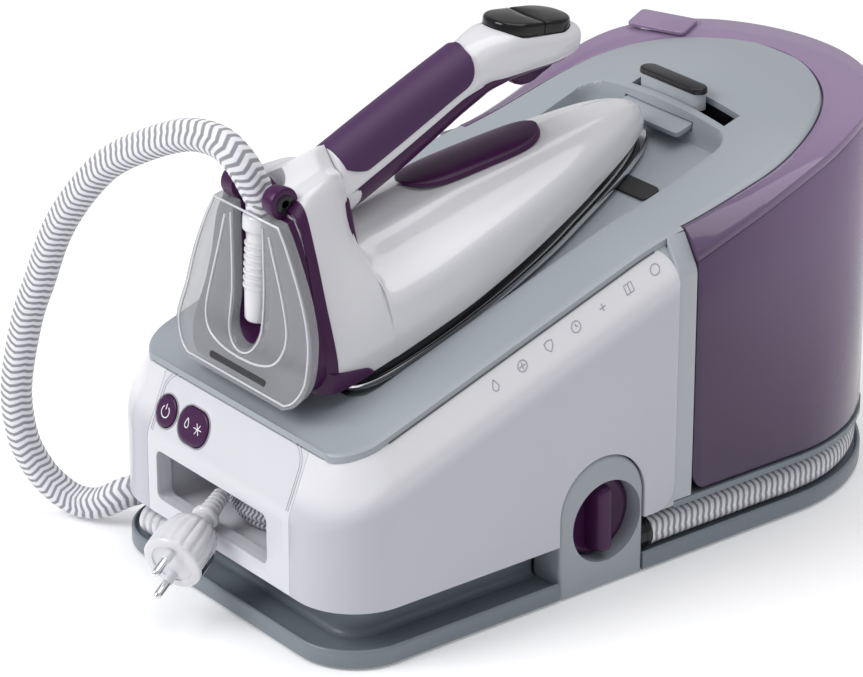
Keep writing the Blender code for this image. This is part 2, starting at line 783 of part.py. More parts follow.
def heel_face(n):
    """Where the heel's plum plate meets the white shell at one height; it leans forward."""
    return -21.0 + HEEL_LEAN * (n - 20.0)


def stand_back(n):
    """Where the back of the clear heel stand lies along the sole at one height."""
    return between(n, STAND_BACK)


def build_iron_shell(frame):
    """The white body: a column under the rear of the handle, then low and pointed at the nose."""
    base = 12.3
    stations = [
        # place 20 mm up, lean, half width, rise, crown, shoulder, flank and flank height
        (-20.7, HEEL_LEAN, 54.0, 103.0, 0.36, 0.93, 0.60, 0.74),
        (-9.0, HEEL_LEAN, 58.0, 105.5, 0.30, 0.94, 0.58, 0.74),
        (12.0, HEEL_LEAN, 60.8, 106.0, 0.27, 0.94, 0.53, 0.74),
        (25.6, HEEL_LEAN, 61.5, 104.0, 0.26, 0.94, 0.50, 0.72),
        (27.5, 0.22, 61.5, 64.0, 0.40, 0.88, 0.60, 0.70),
        (50.0, 0.12, 61.5, 59.0, 0.42, 0.88, 0.60, 0.69),
        (80.0, 0.0, 60.5, 56.5, 0.42, 0.88, 0.60, 0.69),
        (108.0, 0.0, 57.0, 53.5, 0.42, 0.88, 0.60, 0.69),
        (136.0, 0.0, 52.0, 48.5, 0.42, 0.88, 0.61, 0.70),
        (175.0, 0.0, 42.8, 40.5, 0.44, 0.88, 0.64, 0.71),
        (206.0, 0.0, 33.5, 34.5, 0.46, 0.88, 0.68, 0.72),
        (234.0, 0.0, 24.0, 27.5, 0.5, 0.88, 0.72, 0.73),
        (252.0, 0.0, 15.5, 20.5, 0.55, 0.88, 0.74, 0.73),
        (261.0, 0.0, 9.0, 14.5, 0.6, 0.9, 0.76, 0.75),
        (265.3, 0.0, 4.0, 9.5, 0.65, 0.9, 0.78, 0.75),
    ]
    rings = []
    for place, lean, half, rise, crown, shoulder, flank, flank_rise in stations:
        right = [
            (half, 0.0),
            (0.99 * half, 0.22 * rise),
            (0.90 * half, 0.53 * rise),
            (flank * half, flank_rise * rise),
            (crown * half, shoulder * rise),
            (0.22 * half, (0.4 + 0.6 * shoulder) * rise),
        ]
        ring = right + [(0.0, rise)] + [(-x, n) for x, n in reversed(right)]
        rings.append([(x, place + lean * (base + n - 20.0), base + n) for x, n in ring])
    shell = loft("iron_shell", rings, "white_gloss", frame)
    heel = [(45.0, 14.0), (52.0, 19.5), (54.0, 31.0), (50.0, 50.0), (42.0, 71.0), (31.0, 94.0), (22.0, 108.0)]
    rings = []
    for half, n in heel:
        rear = stand_back(n) + STAND_THICK + FIT
        front = heel_face(n)
        rings.append([(-half, rear, n), (half, rear, n), (half, front, n), (-half, front, n)])
    return shell, loft("heel_plate", rings, "plum", frame)


def build_inlay(frame):
    """The plum inlay, a thin lens that follows the shell's crown."""
    ridge = [(80.0, 68.8), (108.0, 65.8), (136.0, 60.8), (175.0, 52.8), (206.0, 46.8)]
    top, bottom = [], []
    for i in range(9):
        s = 92.0 + 100.0 * i / 8
        half = 18.0 * math.sqrt(max(0.12, 1 - (2 * i / 8 - 1) ** 4))
        row = [(x * half, between(s, ridge) - 0.0124 * (x * half) ** 2) for x in (-1, -0.5, 0, 0.5, 1)]
        bottom.append([(x, s, crown + 1.2) for x, crown in row])
        top.append([(x, s, crown + 2.6) for x, crown in row])
    grid_solid("top_inlay", top, bottom, "plum", frame)


def handle_ring(s, n, tilt, tall, wide, start=0.0, end=360.0, steps=16, inner=None):
    """A section of the handle, square to its run; with inner, only a shell over part of it."""
    direction = math.radians(tilt)
    up = Vector((0, -math.sin(direction), math.cos(direction)))

    def point(a, b, angle):
        return Vector((b * math.cos(angle), s, n)) + up * (a * math.sin(angle))

    whole = inner is None
    count = steps if whole else steps + 1
    angles = [math.radians(start + (end - start) * i / steps) for i in range(count)]
    ring = [point(tall, wide, angle) for angle in angles]
    if not whole:
        ring += [point(inner[0], inner[1], angle) for angle in reversed(angles)]
    return ring


HANDLE = [
    # place along the sole, height, tilt, half height, half width
    (46.5, 95.0, -15.1, 17.6, 15.0),
    (54.0, 95.8, 2.0, 17.8, 15.0),
    (60.0, 96.5, 7.0, 17.9, 15.0),
    (84.0, 99.5, 7.5, 17.8, 15.0),
    (112.0, 103.5, 8.0, 16.8, 15.0),
    (136.0, 107.0, 7.8, 15.6, 15.0),
    (157.0, 109.4, 5.0, 15.2, 15.0),
    (168.0, 109.9, -4.0, 16.2, 17.6),
    (176.1, 109.6, -13.0, 15.8, 19.4),
    (186.1, 106.9, -21.0, 14.5, 20.4),
    (198.9, 102.8, -24.0, 13.0, 20.6),
    (211.8, 98.7, -24.0, 11.5, 20.4),
    (225.1, 95.0, -24.0, 9.5, 17.5),
    (230.0, 94.2, -24.0, 6.0, 12.5),
]
GRIP_RUN = [
    # place along the sole, height, tilt, half height over the core
    (54.0, 95.8, 4.0, 21.8),
    (84.0, 99.5, 7.5, 21.8),
    (112.0, 103.5, 8.0, 20.8),
    (136.0, 107.0, 7.8, 19.6),
    (157.0, 109.4, 5.0, 19.0),
]


def build_handle(frame):
    rings = [handle_ring(*row) for row in HANDLE]
    shell = loft("handle_shell", rings, "white_gloss", frame)
    rings = [
        handle_ring(s, n, tilt, tall, 17.9, 6.0, 174.0, 12, (tall - 3.3, 15.9))
        for s, n, tilt, tall in GRIP_RUN
    ]
    loft("handle_grip", rings, "plum", frame)
    rings = [
        handle_ring(s, n, tilt, tall, 17.0, 188.0, 352.0, 12, (tall - 3.3, 15.9))
        for s, n, tilt, tall in GRIP_RUN
    ]
    loft("handle_underside", rings, "plum", frame)
    build_controls(frame, shell)


def build_controls(frame, shell):
    """The mode key, the display and the trigger, with pockets in the handle for the two that move."""
    tilt = math.radians(-24.0)
    pad = bpy.data.objects.new("display_frame", None)
    pad.parent = frame
    pad.location = Vector((0.0, 204.2, 114.7)) * MM
    pad.rotation_euler = (tilt, 0, 0)
    bpy.context.scene.collection.objects.link(pad)
    prism("mode_button", rounded_rectangle((-17.2, -27.0), (17.2, -0.3), 7.0), -2.6, 5.2, "graphite", pad)
    prism("display_panel", rounded_rectangle((-17.2, 0.3), (17.2, 27.0), 7.0), -2.6, 5.2, "graphite", pad)
    pocket = rounded_rectangle((-17.7, -27.5), (17.7, 27.5), 7.0)
    cut(shell, prism("display_pocket", pocket, -4.0, 12.0, "rubber", pad))
    pivot = bpy.data.objects.new("trigger_axis", None)
    pivot.parent = frame
    pivot.location = Vector((0.0, 208.0, 86.0)) * MM
    pivot.rotation_euler = (math.radians(-13.0), 0, 0)
    bpy.context.scene.collection.objects.link(pivot)
    side = [(2.0, 1.6), (-27.0, 4.4), (-29.0, -1.0), (-22.0, -7.0), (-12.0, -6.4), (0.0, -2.0)]
    rings = [[(x, y, z) for y, z in side] for x in (-8.5, 8.5)]
    loft("steam_trigger", rings, "plum", pivot)
    cut(shell, cutter_box("trigger_pocket", (-9.2, -30.5, -12.0), (9.2, 3.0, 7.0), pivot))


def build_heel(frame, shell, plate):
    """The clear heel stand with its slot, and the ribbed boot of the steam hose inside it."""
    side = [(46.0, 14.0), (57.0, 19.5), (64.0, 31.0), (61.0, 50.0), (54.0, 71.0), (42.0, 94.0), (32.0, 109.0)]
    rings = []
    for half, n in side:
        back = stand_back(n)
        front = back + STAND_THICK
        rings.append([(-half, back, n), (half, back, n), (half, front, n), (-half, front, n)])
    stand = loft("heel_stand", rings, "smoke_clear", frame)
    slot = arc((0, 46.0), 13.5, 180, 360, 8) + [(13.5, 120.0), (-13.5, 120.0)]
    cutter = loft("boot_slot", [[(x, s, n) for x, n in slot] for s in (-70.0, 5.0)], "rubber", frame)
    cut(stand, cutter)
    cut(plate, cutter)
    low = Vector((0.0, -21.5, 42.0))
    high = Vector((0.0, 2.0, 102.5))
    run = (high - low).length
    profile = [(0.0, 6.0), (3.0, 8.4), (20.0, 8.8)]
    for i in range(7):
        place = 21.0 + 4.2 * i
        profile += [(place, 9.6), (place + 1.8, 9.6), (place + 2.2, 8.7), (place + 4.0, 8.7)]
    profile += [(run - 10.5, 9.0), (run - 9.0, 10.8), (run, 10.2)]
    turned("hose_boot", profile, low, high - low, "white_gloss", frame, 20)
    reach = [(-6.0, 12.0), (90.0, 12.0)]
    clearance = turned("boot_clearance", reach, low, high - low, "rubber", frame, 20)
    cut(shell, clearance)
    return frame_point(high)


def frame_point(local):
    turn = Matrix.Rotation(REST_SLOPE, 3, "X")
    return IRON_ORIGIN + turn @ Vector(local)


def build_pads(frame):
    """The soft pads in the recess floor that the soleplate rests on."""
    places = (("front", 14.0, 47.0, -9.5, 12.0), ("rear", 22.0, 54.0, 217.0, 231.0))
    for side, sign in (("left", -1), ("right", 1)):
        for end, inner, outer, low, high in places:
            x0, x1 = sorted((sign * inner, sign * outer))
            outline = rounded_rectangle((x0, low), (x1, high), 4.0, 2)
            prism(f"rest_pad_{end}_{side}", outline, -RECESS_DEPTH + FIT, -FIT, "rubber", frame)


# ---------------------------------------------------------------- hose and mains cord
def hose_route(boot_end):
    """The hose: out of the gland, round the groove, over the lip at the front left, up to the iron."""
    reach = HALF_WIDTH - HOSE_INSET
    route = [(reach, y, HOSE_Z) for y in (0.2, 20.0, 60.0, 95.0)]
    for x, y in arc((0, BACK_CENTRE_Y), reach, 0, 180, 12):
        route.append((x, y, HOSE_Z))
    route += [(-reach, y, HOSE_Z) for y in (95.0, 30.0, -40.0, -110.0)]
    route += [(-reach, -160.0, HOSE_Z + 0.4), (-107.3, -184.0, 22.2), (-112.5, -202.0, 24.6)]
    route += [(-121.5, -215.0, 20.6), (-134.0, -225.0, 12.0), (-147.0, -232.5, 10.6)]
    route += [(-157.0, -240.0, 17.0), (-165.0, -248.0, 30.0), (-170.0, -255.5, 52.0)]
    route += [(-171.5, -257.5, 85.0), (-163.5, -253.2, 129.5), (-153.0, -249.1, 159.0)]
    route += [(-138.0, -245.3, 194.2), (-117.0, -239.0, 225.7), (-92.0, -231.3, 250.7)]
    route += [(-50.0, -218.7, 273.5), (-24.0, -210.8, 277.2), (-8.0, -205.3, 267.8)]
    route.append(boot_end + Vector((0, 0, 8.0)))
    return route


def build_hose(boot_end):
    reach = HALF_WIDTH - HOSE_INSET
    gland = [(0.0, 9.9), (6.0, 9.9), (10.0, 9.7)]
    start_y = TOWER_Y + TOWER_HALF + FIT
    turned("hose_gland", gland, (reach, start_y, HOSE_Z), (0, 1, 0), "graphite", sides=20)
    points = through(hose_route(boot_end), 30.0) + [boot_end + Vector((0, 0, 3 * FIT))]
    tube("steam_hose", points, HOSE_RADIUS, "braid", 3)
    profile = []
    for i in range(6):
        place = 6.6 * i
        profile += [(place, 8.2), (place + 1.2, 9.6), (place + 4.2, 9.6), (place + 5.4, 8.2)]
    start = (-88.0, -HALF_LENGTH + HOSE_INSET, HOSE_Z)
    turned("hose_clip", profile, start, (1, 0, 0), "white_gloss", sides=16)


PLUG_CENTRE = Vector((0.0, -255.0, 47.0))
PLUG_AXIS = Vector((0.385, -0.868, -0.321)).normalized()
COIL_CENTRE = Vector((-5.0, -163.0, 52.9))
COIL_MEAN = 38.0
COIL_SECTION = 10.0


def build_mains():
    rings = []
    for i in range(36):
        turn = 2 * math.pi * i / 36
        ring = []
        for j in range(12):
            angle = 2 * math.pi * j / 12
            radius = COIL_MEAN + COIL_SECTION * math.cos(angle)
            ring.append(
                COIL_CENTRE
                + Vector((radius * math.cos(turn), radius * math.sin(turn), COIL_SECTION * math.sin(angle)))
            )
        rings.append(ring)
    loft("mains_coil", rings, "braid", closed=True)
    gland_x = COIL_CENTRE.x - COIL_MEAN - 9.0
    gland = [(0.0, 8.0), (3.0, 8.0), (5.0, 5.6), (15.5, 4.3)]
    turned("mains_gland", gland, (gland_x, -114.3, COIL_CENTRE.z), (0, -1, 0), "graphite", sides=16)
    body = [(-16.0, 9.5), (-13.0, 14.0), (-4.0, 17.2), (4.0, 18.5), (15.0, 18.5), (16.0, 17.6)]
    turned("plug_body", body, PLUG_CENTRE, PLUG_AXIS, "white_gloss", sides=24)
    boot = [(16.3, 7.6), (22.0, 7.0), (23.0, 8.2), (26.0, 8.2), (27.0, 6.2), (45.0, 4.8)]
    turned("plug_boot", boot, PLUG_CENTRE, -PLUG_AXIS, "white_gloss", sides=16)
    across = Vector((0.283, -0.220, 0.933))
    across = (across - across.dot(PLUG_AXIS) * PLUG_AXIS).normalized()
    for side, sign in (("lower", -1), ("upper", 1)):
        start = PLUG_CENTRE + PLUG_AXIS * 16.3 + across * (9.5 * sign)
        pin = [(0.0, 2.4), (17.5, 2.4), (19.0, 1.2)]
        turned(f"plug_pin_{side}", pin, start, PLUG_AXIS, "steel", sides=12)
    start = PLUG_CENTRE - PLUG_AXIS * 45.3
    lead = [start, start - PLUG_AXIS * 5.0, start - PLUG_AXIS * 10.0]
    lead += [(-27.0, -194.0, 67.6), (-36.0, -180.0, 67.4), (-42.0, -165.0, 67.2)]
    tube("mains_cord", through(lead, 8.0), CORD_RADIUS, "braid", 2)


# ---------------------------------------------------------------- everything
def main():
    clear_scene()
    build_tray()
    build_plinth()
    build_plates()
    panel = build_shells()
    build_compartment()
    build_buttons(panel)
    build_deck()
    build_rear_frame()
    build_rear_column()
    build_descaler()
    build_inside()
    build_tank()
    build_lock()
    frame = iron_frame()
    build_sole(frame)
    shell, plate = build_iron_shell(frame)
    build_inlay(frame)
    build_handle(frame)
    boot_end = build_heel(frame, shell, plate)
    build_pads(frame)
    build_hose(boot_end)
    build_mains()
    bpy.context.view_layer.update()


main()
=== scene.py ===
import math

import bmesh
import bpy
from mathutils import Matrix, Vector


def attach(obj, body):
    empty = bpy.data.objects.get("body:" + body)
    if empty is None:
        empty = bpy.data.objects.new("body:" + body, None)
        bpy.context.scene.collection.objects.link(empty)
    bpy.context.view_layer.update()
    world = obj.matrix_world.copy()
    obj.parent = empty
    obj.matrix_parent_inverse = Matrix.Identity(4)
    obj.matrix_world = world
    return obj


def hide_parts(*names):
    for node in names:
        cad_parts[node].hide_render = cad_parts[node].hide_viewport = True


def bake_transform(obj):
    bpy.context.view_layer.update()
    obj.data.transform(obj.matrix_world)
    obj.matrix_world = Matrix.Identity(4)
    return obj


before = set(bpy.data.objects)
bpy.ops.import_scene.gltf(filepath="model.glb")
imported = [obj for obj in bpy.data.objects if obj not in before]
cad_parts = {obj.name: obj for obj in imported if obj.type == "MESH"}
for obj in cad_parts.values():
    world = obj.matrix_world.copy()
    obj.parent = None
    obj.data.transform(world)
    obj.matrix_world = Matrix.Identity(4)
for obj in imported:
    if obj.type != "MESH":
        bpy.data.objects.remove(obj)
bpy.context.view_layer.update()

MM = 0.001
FIT = 0.3  # the gap between touching pieces, in millimetres like every size below
SIDES = (("left", -1), ("right", 1))

# ---------------------------------------------------------------- camera
AROUND = math.radians(52.01)
ABOVE = math.radians(24.24)
CAMERA_PLACE = (1.6564, -1.3701, 1.0733)
BACK = Vector((math.sin(AROUND) * math.cos(ABOVE), -math.cos(AROUND) * math.cos(ABOVE), math.sin(ABOVE)))
RIGHT = Vector((math.cos(AROUND), math.sin(AROUND), 0.0))
UP = BACK.cross(RIGHT)
lens = bpy.data.cameras.new("camera")
lens.sensor_width = 36.0
lens.sensor_fit = "HORIZONTAL"
lens.lens = 163.44
lens.clip_start = 0.05
camera = bpy.data.objects.new("camera", lens)
aim = Matrix((RIGHT, UP, BACK)).transposed().to_4x4()
camera.matrix_world = Matrix.Translation(CAMERA_PLACE) @ aim
bpy.context.scene.collection.objects.link(camera)
bpy.context.scene.camera = camera


# ---------------------------------------------------------------- finishes
def new_finish(name):
    made = bpy.data.materials.new(name)
    made.use_nodes = True
    return made, made.node_tree, made.node_tree.nodes["Principled BSDF"].inputs


def joined(tree, kind, inputs, **settings):
    """A shader node, each input linked to a socket or set to a value."""
    node = tree.nodes.new(kind)
    for key, value in settings.items():
        setattr(node, key, value)
    for key, value in inputs.items():
        if isinstance(value, bpy.types.NodeSocket):
            tree.links.new(value, node.inputs[key])
        else:
            node.inputs[key].default_value = value
    return node


def maths(tree, operation, first, second):
    return joined(tree, "ShaderNodeMath", {0: first, 1: second}, operation=operation).outputs[0]


def object_place(tree):
    return tree.nodes.new("ShaderNodeTexCoord").outputs["Object"]


def noise(tree, place, scale, detail=2.0):
    inputs = {"Vector": place, "Scale": scale, "Detail": detail}
    return joined(tree, "ShaderNodeTexNoise", inputs).outputs["Fac"]


def coloured(tree, share, low, high):
    """The base colour goes from low to high as share goes from 0 to 1."""
    tone = tree.nodes.new("ShaderNodeMix")
    tone.data_type = "RGBA"
    tree.links.new(share, tone.inputs["Factor"])
    tone.inputs[6].default_value = (*low, 1.0)
    tone.inputs[7].default_value = (*high, 1.0)
    tree.links.new(tone.outputs[2], tree.nodes["Principled BSDF"].inputs["Base Color"])


def embossed(tree, height, strength, distance):
    bump = joined(tree, "ShaderNodeBump", {"Height": height, "Strength": strength, "Distance": distance})
    tree.links.new(bump.outputs["Normal"], tree.nodes["Principled BSDF"].inputs["Normal"])


def finish(name, colour, rough, metal=0.0, coat=0.0, alpha=1.0, grain=0.03, vary=0.03, shine=0.5):
    """A moulded or metal surface: slight changes of tone and gloss, and a fine moulded grain."""
    made, tree, shader = new_finish(name)
    place = object_place(tree)
    broad, fine = noise(tree, place, 14.0, 4.0), noise(tree, place, 900.0)
    coloured(tree, broad, [c * (1 - vary) for c in colour], [min(1.0, c * (1 + vary)) for c in colour])
    limits = {"To Min": max(0.02, rough - 0.05), "To Max": rough + 0.05}
    wear = joined(tree, "ShaderNodeMapRange", {"Value": broad, **limits})
    tree.links.new(wear.outputs["Result"], shader["Roughness"])
    embossed(tree, fine, grain, 0.0002)
    shader["Metallic"].default_value = metal
    shader["Coat Weight"].default_value = coat
    shader["Coat Roughness"].default_value = 0.04
    shader["Specular IOR Level"].default_value = shine
    shader["Alpha"].default_value = alpha
    return made


def painted_shade_ramp(made, low, high, across, begin, end):
    """Paints shade into the colour: it passes from the shaded low to the lit high where across * Y + Z runs
    from begin to end, in metres.
    """
    tree = made.node_tree
    parts = joined(tree, "ShaderNodeSeparateXYZ", {"Vector": object_place(tree)}).outputs
    level = maths(tree, "ADD", maths(tree, "MULTIPLY", parts["Y"], across), parts["Z"])
    share = joined(tree, "ShaderNodeMapRange", {"Value": level, "From Min": begin, "From Max": end})
    share.interpolation_type = "SMOOTHSTEP"
    coloured(tree, share.outputs["Result"], low, high)
    return made


CHEVRONS = 4  # points of the weave's zigzag round a braided cord


def braid(name, light, dark, pitch):
    """Woven sheath: light chevrons with darker gaps, by the turn and the length that the tube lays out."""
    made, tree, shader = new_finish(name)
    layout = tree.nodes.new("ShaderNodeUVMap").outputs["UV"]
    parts = joined(tree, "ShaderNodeSeparateXYZ", {"Vector": layout}).outputs
    zigzag = maths(tree, "PINGPONG", maths(tree, "MULTIPLY", parts["X"], float(CHEVRONS)), 0.5)
    along = maths(tree, "MULTIPLY", parts["Y"], 1.0 / pitch)
    wave = maths(tree, "PINGPONG", maths(tree, "ADD", zigzag, along), 0.5)
    gap = joined(tree, "ShaderNodeMapRange", {"Value": wave, "From Min": 0.16, "From Max": 0.28})
    thread = gap.outputs["Result"]
    coloured(tree, thread, dark, light)
    fuzz = noise(tree, object_place(tree), 1800.0)
    embossed(tree, maths(tree, "ADD", thread, maths(tree, "MULTIPLY", fuzz, 0.4)), 0.5, 0.0004)
    shader["Roughness"].default_value = 0.72
    shader["Sheen Weight"].default_value = 0.25
    shader["Sheen Roughness"].default_value = 0.4
    return made


# the tank's colour, with painted shade low down and in front and its lit colour above
TANK_SHADED, TANK_LIT = (0.050, 0.022, 0.070), (0.300, 0.215, 0.350)
# the side covers' white, with painted shade on the upright faces below the crease and the lit colour on the
# band above
PEARL_SHADED, PEARL_LIT = (0.47, 0.47, 0.53), (0.68, 0.68, 0.71)
FINISHES = {
    name: finish(name, colour, rough, **more)
    for name, colour, rough, more in (
        ("white_gloss", (0.66, 0.66, 0.69), 0.22, dict(coat=0.55, grain=0.02)),
        ("pearl_white", PEARL_LIT, 0.30, dict(coat=0.35, grain=0.02)),
        ("panel_white", (0.62, 0.62, 0.66), 0.30, dict(coat=0.35)),
        ("deck_grey", (0.30, 0.33, 0.36), 0.42, dict(coat=0.1, grain=0.10)),
        ("tray_grey", (0.17, 0.20, 0.23), 0.42, dict(coat=0.1, grain=0.08)),
        ("frame_grey", (0.40, 0.43, 0.46), 0.38, dict(coat=0.15, grain=0.06)),
        ("plum", (0.050, 0.010, 0.055), 0.30, dict(coat=0.06, grain=0.02, shine=0.22)),
        ("plum_soft", (0.058, 0.020, 0.078), 0.46, dict(grain=0.05, shine=0.35)),
        ("tank_purple", TANK_LIT, 0.14, dict(coat=0.3, alpha=0.86, grain=0.02, shine=0.35)),
        ("smoke_clear", (0.30, 0.31, 0.33), 0.08, dict(coat=0.6, alpha=0.50, grain=0.01)),
        # painted highlight: the bright beads that stand for light caught on the clear stand's edges
        ("painted_edge_highlight", (0.75, 0.76, 0.80), 0.12, dict(coat=1.0, alpha=0.75, grain=0.0)),
        ("graphite", (0.010, 0.010, 0.012), 0.24, dict(coat=0.1, shine=0.3)),
        ("glass_black", (0.004, 0.004, 0.005), 0.10, dict(coat=0.05, grain=0.0, shine=0.35)),
        ("rubber", (0.015, 0.015, 0.016), 0.62, dict(grain=0.25)),
        ("steel", (0.74, 0.74, 0.76), 0.17, dict(metal=1.0)),
        ("aluminium", (0.60, 0.61, 0.62), 0.38, dict(metal=1.0, grain=0.10)),
        ("brass", (0.72, 0.53, 0.24), 0.30, dict(metal=1.0, grain=0.08)),
        ("board_green", (0.02, 0.16, 0.06), 0.40, dict(grain=0.05)),
        # painted shade for the gap between the deck and the shell
        ("seam", (0.10, 0.10, 0.115), 0.6, dict(grain=0.0)),
        ("soft_seam_shade", (0.33, 0.33, 0.37), 0.5, dict(grain=0.0)),
        ("icon_white", (0.85, 0.85, 0.87), 0.4, dict(grain=0.0)),
        ("icon_grey", (0.30, 0.30, 0.34), 0.5, dict(grain=0.0)),
        ("floor_white", (0.93, 0.93, 0.94), 0.55, dict(grain=0.0, vary=0.0)),
    )
}
# painted shade: the see-through tank is darkened low down and in front; the side covers are darkened below
# their crease, where their upright faces turn from the light
painted_shade_ramp(FINISHES["tank_purple"], TANK_SHADED, TANK_LIT, 1.0, 0.10, 0.45)
painted_shade_ramp(FINISHES["pearl_white"], PEARL_SHADED, PEARL_LIT, -0.345, 0.164, 0.181)
HOSE_PITCH, CORD_PITCH = 4.6, 3.0
FINISHES["hose_braid"] = braid("hose_braid", (0.78, 0.78, 0.82), (0.27, 0.27, 0.30), HOSE_PITCH * MM)
FINISHES["cord_braid"] = braid("cord_braid", (0.66, 0.66, 0.70), (0.16, 0.16, 0.20), CORD_PITCH * MM)


# ---------------------------------------------------------------- modelling tools
def make(name, points, faces, finish_name, place=None, sharp=34.0, uvs=None):
    """A mesh from points in millimetres, smooth but for edges over sharp degrees; place maps its points."""
    mesh = bpy.data.meshes.new(name)
    if place:
        points = [place(p) for p in points]
    mesh.from_pydata([Vector(p) * MM for p in points], [], faces)
    if uvs:
        layer = mesh.uv_layers.new(name="UVMap")
        for loop, uv in zip(layer.data, uvs):
            loop.uv = uv
    work = bmesh.new()
    work.from_mesh(mesh)
    bmesh.ops.recalc_face_normals(work, faces=work.faces)
    work.to_mesh(mesh)
    work.free()
    mesh.shade_smooth()
    mesh.set_sharp_from_angle(angle=math.radians(sharp))
    mesh.materials.append(FINISHES[finish_name])
    obj = bpy.data.objects.new(name, mesh)
    bpy.context.scene.collection.objects.link(obj)
    return obj


def loft(name, rings, finish_name, place=None, closed=False, sharp=34.0):
    """A skin over rings of equal length, with a cap at each end unless it closes on itself."""
    count = len(rings[0])
    points = [p for ring in rings for p in ring]
    faces = []
    last = len(rings) if closed else len(rings) - 1
    for i in range(last):
        a, b = i * count, (i + 1) % len(rings) * count
        for j in range(count):
            k = (j + 1) % count
            faces.append((a + j, a + k, b + k, b + j))
    if not closed:
        faces.append(tuple(range(count)))
        faces.append(tuple(range((len(rings) - 1) * count, len(rings) * count)))
    return make(name, points, faces, finish_name, place, sharp)


def flat(points, height):
    return [(x, y, height) for x, y in points]


def drawn(name, outline, reach, axis="x", finish_name="rubber"):
    """An outline of (y, z) points drawn out between two places on X, or of (x, z) points on Y."""
    if axis == "x":
        rings = [[(x, y, z) for y, z in outline] for x in reach]
    else:
        rings = [[(x, y, z) for x, z in outline] for y in reach]
    return loft(name, rings, finish_name)


def block(name, low, high, place=None):
    """A box to cut with."""
    outline = [(low[0], low[1]), (high[0], low[1]), (high[0], high[1]), (low[0], high[1])]
    return loft(name, [flat(outline, low[2]), flat(outline, high[2])], "rubber", place)


def turned(name, profile, start, axis, finish_name, place=None, sides=64, sharp=34.0, flutes=None):
    """A turned piece from rows of (along, radius); flutes is (from, to, count, depth) along it."""
    turn = Vector(axis).normalized().to_track_quat("Z", "Y").to_matrix()
    rings = []
    for along, radius in profile:
        ring = []
        for i in range(sides):
            angle = 2 * math.pi * i / sides
            r = radius
            if flutes and flutes[0] <= along <= flutes[1]:
                r -= flutes[3] * (0.5 + 0.5 * math.cos(flutes[2] * angle)) ** 3
            ring.append(Vector(start) + turn @ Vector((r * math.cos(angle), r * math.sin(angle), along)))
        rings.append(ring)
    return loft(name, rings, finish_name, place, sharp=sharp)


def plate(name, outline, low, high, finish_name, place=None, edge=0.6, rise=0.0):
    """A flat piece between two heights, its upper edge rounded; rise gives it a domed face."""
    middle = sum((Vector(p) for p in outline), Vector((0, 0))) / len(outline)
    rings = [flat(outline, low), flat(outline, high - edge)]
    for step in range(1, 5):
        angle = math.radians(90 * step / 4)
        shrink = edge * (1 - math.cos(angle))
        ring = []
        for p in outline:
            q = Vector(p) - (Vector(p) - middle).normalized() * shrink
            ring.append((q.x, q.y, high - edge + edge * math.sin(angle)))
        rings.append(ring)
    brim = rings[-1]
    for t in (0.8, 0.6, 0.4, 0.2, 0.05) if rise else ():
        rings.append([
            (middle.x + (x - middle.x) * t, middle.y + (y - middle.y) * t, high + rise * (1 - t * t))
            for x, y, _ in brim
        ])
    return loft(name, rings, finish_name, place, sharp=50.0)


def settle(obj, sharp=34.0):
    """Applies the modifiers, so that the cutters can go."""
    bpy.context.view_layer.update()
    graph = bpy.context.evaluated_depsgraph_get()
    mesh = bpy.data.meshes.new_from_object(obj.evaluated_get(graph))
    old = obj.data
    obj.modifiers.clear()
    obj.data = mesh
    bpy.data.meshes.remove(old)
    mesh.shade_smooth()
    mesh.set_sharp_from_angle(angle=math.radians(sharp))


def carve(obj, *cutters):
    """Cuts the cutters out of the object and removes them."""
    for cutter in cutters:
        step = obj.modifiers.new("cut", "BOOLEAN")
        step.operation = "DIFFERENCE"
        step.solver = "EXACT"
        step.object = cutter
    settle(obj)
    for cutter in cutters:
        bpy.data.objects.remove(cutter, do_unlink=True)


def soften(obj, width, segments=3, angle=30.0, sharp=40.0):
    """Rounds the edges that are sharper than angle degrees."""
    step = obj.modifiers.new("edge", "BEVEL")
    step.width = width * MM
    step.segments = segments
    step.limit_method = "ANGLE"
    step.angle_limit = math.radians(angle)
    step.use_clamp_overlap = True
    settle(obj, sharp)


def piece(obj, body, nodes=()):
    """Rides the object on a body and, where nodes are named, stands it for them."""
    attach(obj, body)
    if nodes:
        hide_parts(*([nodes] if isinstance(nodes, str) else nodes))
    return obj


def arc(centre, radius, start, end, steps):
    angles = [math.radians(start + (end - start) * i / steps) for i in range(steps + 1)]
    return [(centre[0] + radius * math.cos(a), centre[1] + radius * math.sin(a)) for a in angles]


def centred(half_x, half_y, corner, steps=8):
    return rounded_rectangle((-half_x, -half_y), (half_x, half_y), corner, steps)


def rounded_rectangle(low, high, radius, steps=8):
    x0, y0 = low
    x1, y1 = high
    points = arc((x1 - radius, y1 - radius), radius, 0, 90, steps)
    points += arc((x0 + radius, y1 - radius), radius, 90, 180, steps)
    points += arc((x0 + radius, y0 + radius), radius, 180, 270, steps)
    points += arc((x1 - radius, y0 + radius), radius, 270, 360, steps)
    return points


def stacked(half_x, half_y, corner, rows, steps=8):
    """Rings of a rounded rectangle about zero, each row giving how far it shrinks and its height."""
    rings = []
    for shrink, height in rows:
        a, b = half_x - shrink, half_y - shrink
        rings.append(flat(rounded_rectangle((-a, -b), (a, b), max(corner - shrink, 1.0), steps), height))
    return rings


def smooth_step(value, low, high):
    t = min(1.0, max(0.0, (value - low) / (high - low)))
    return t * t * (3 - 2 * t)


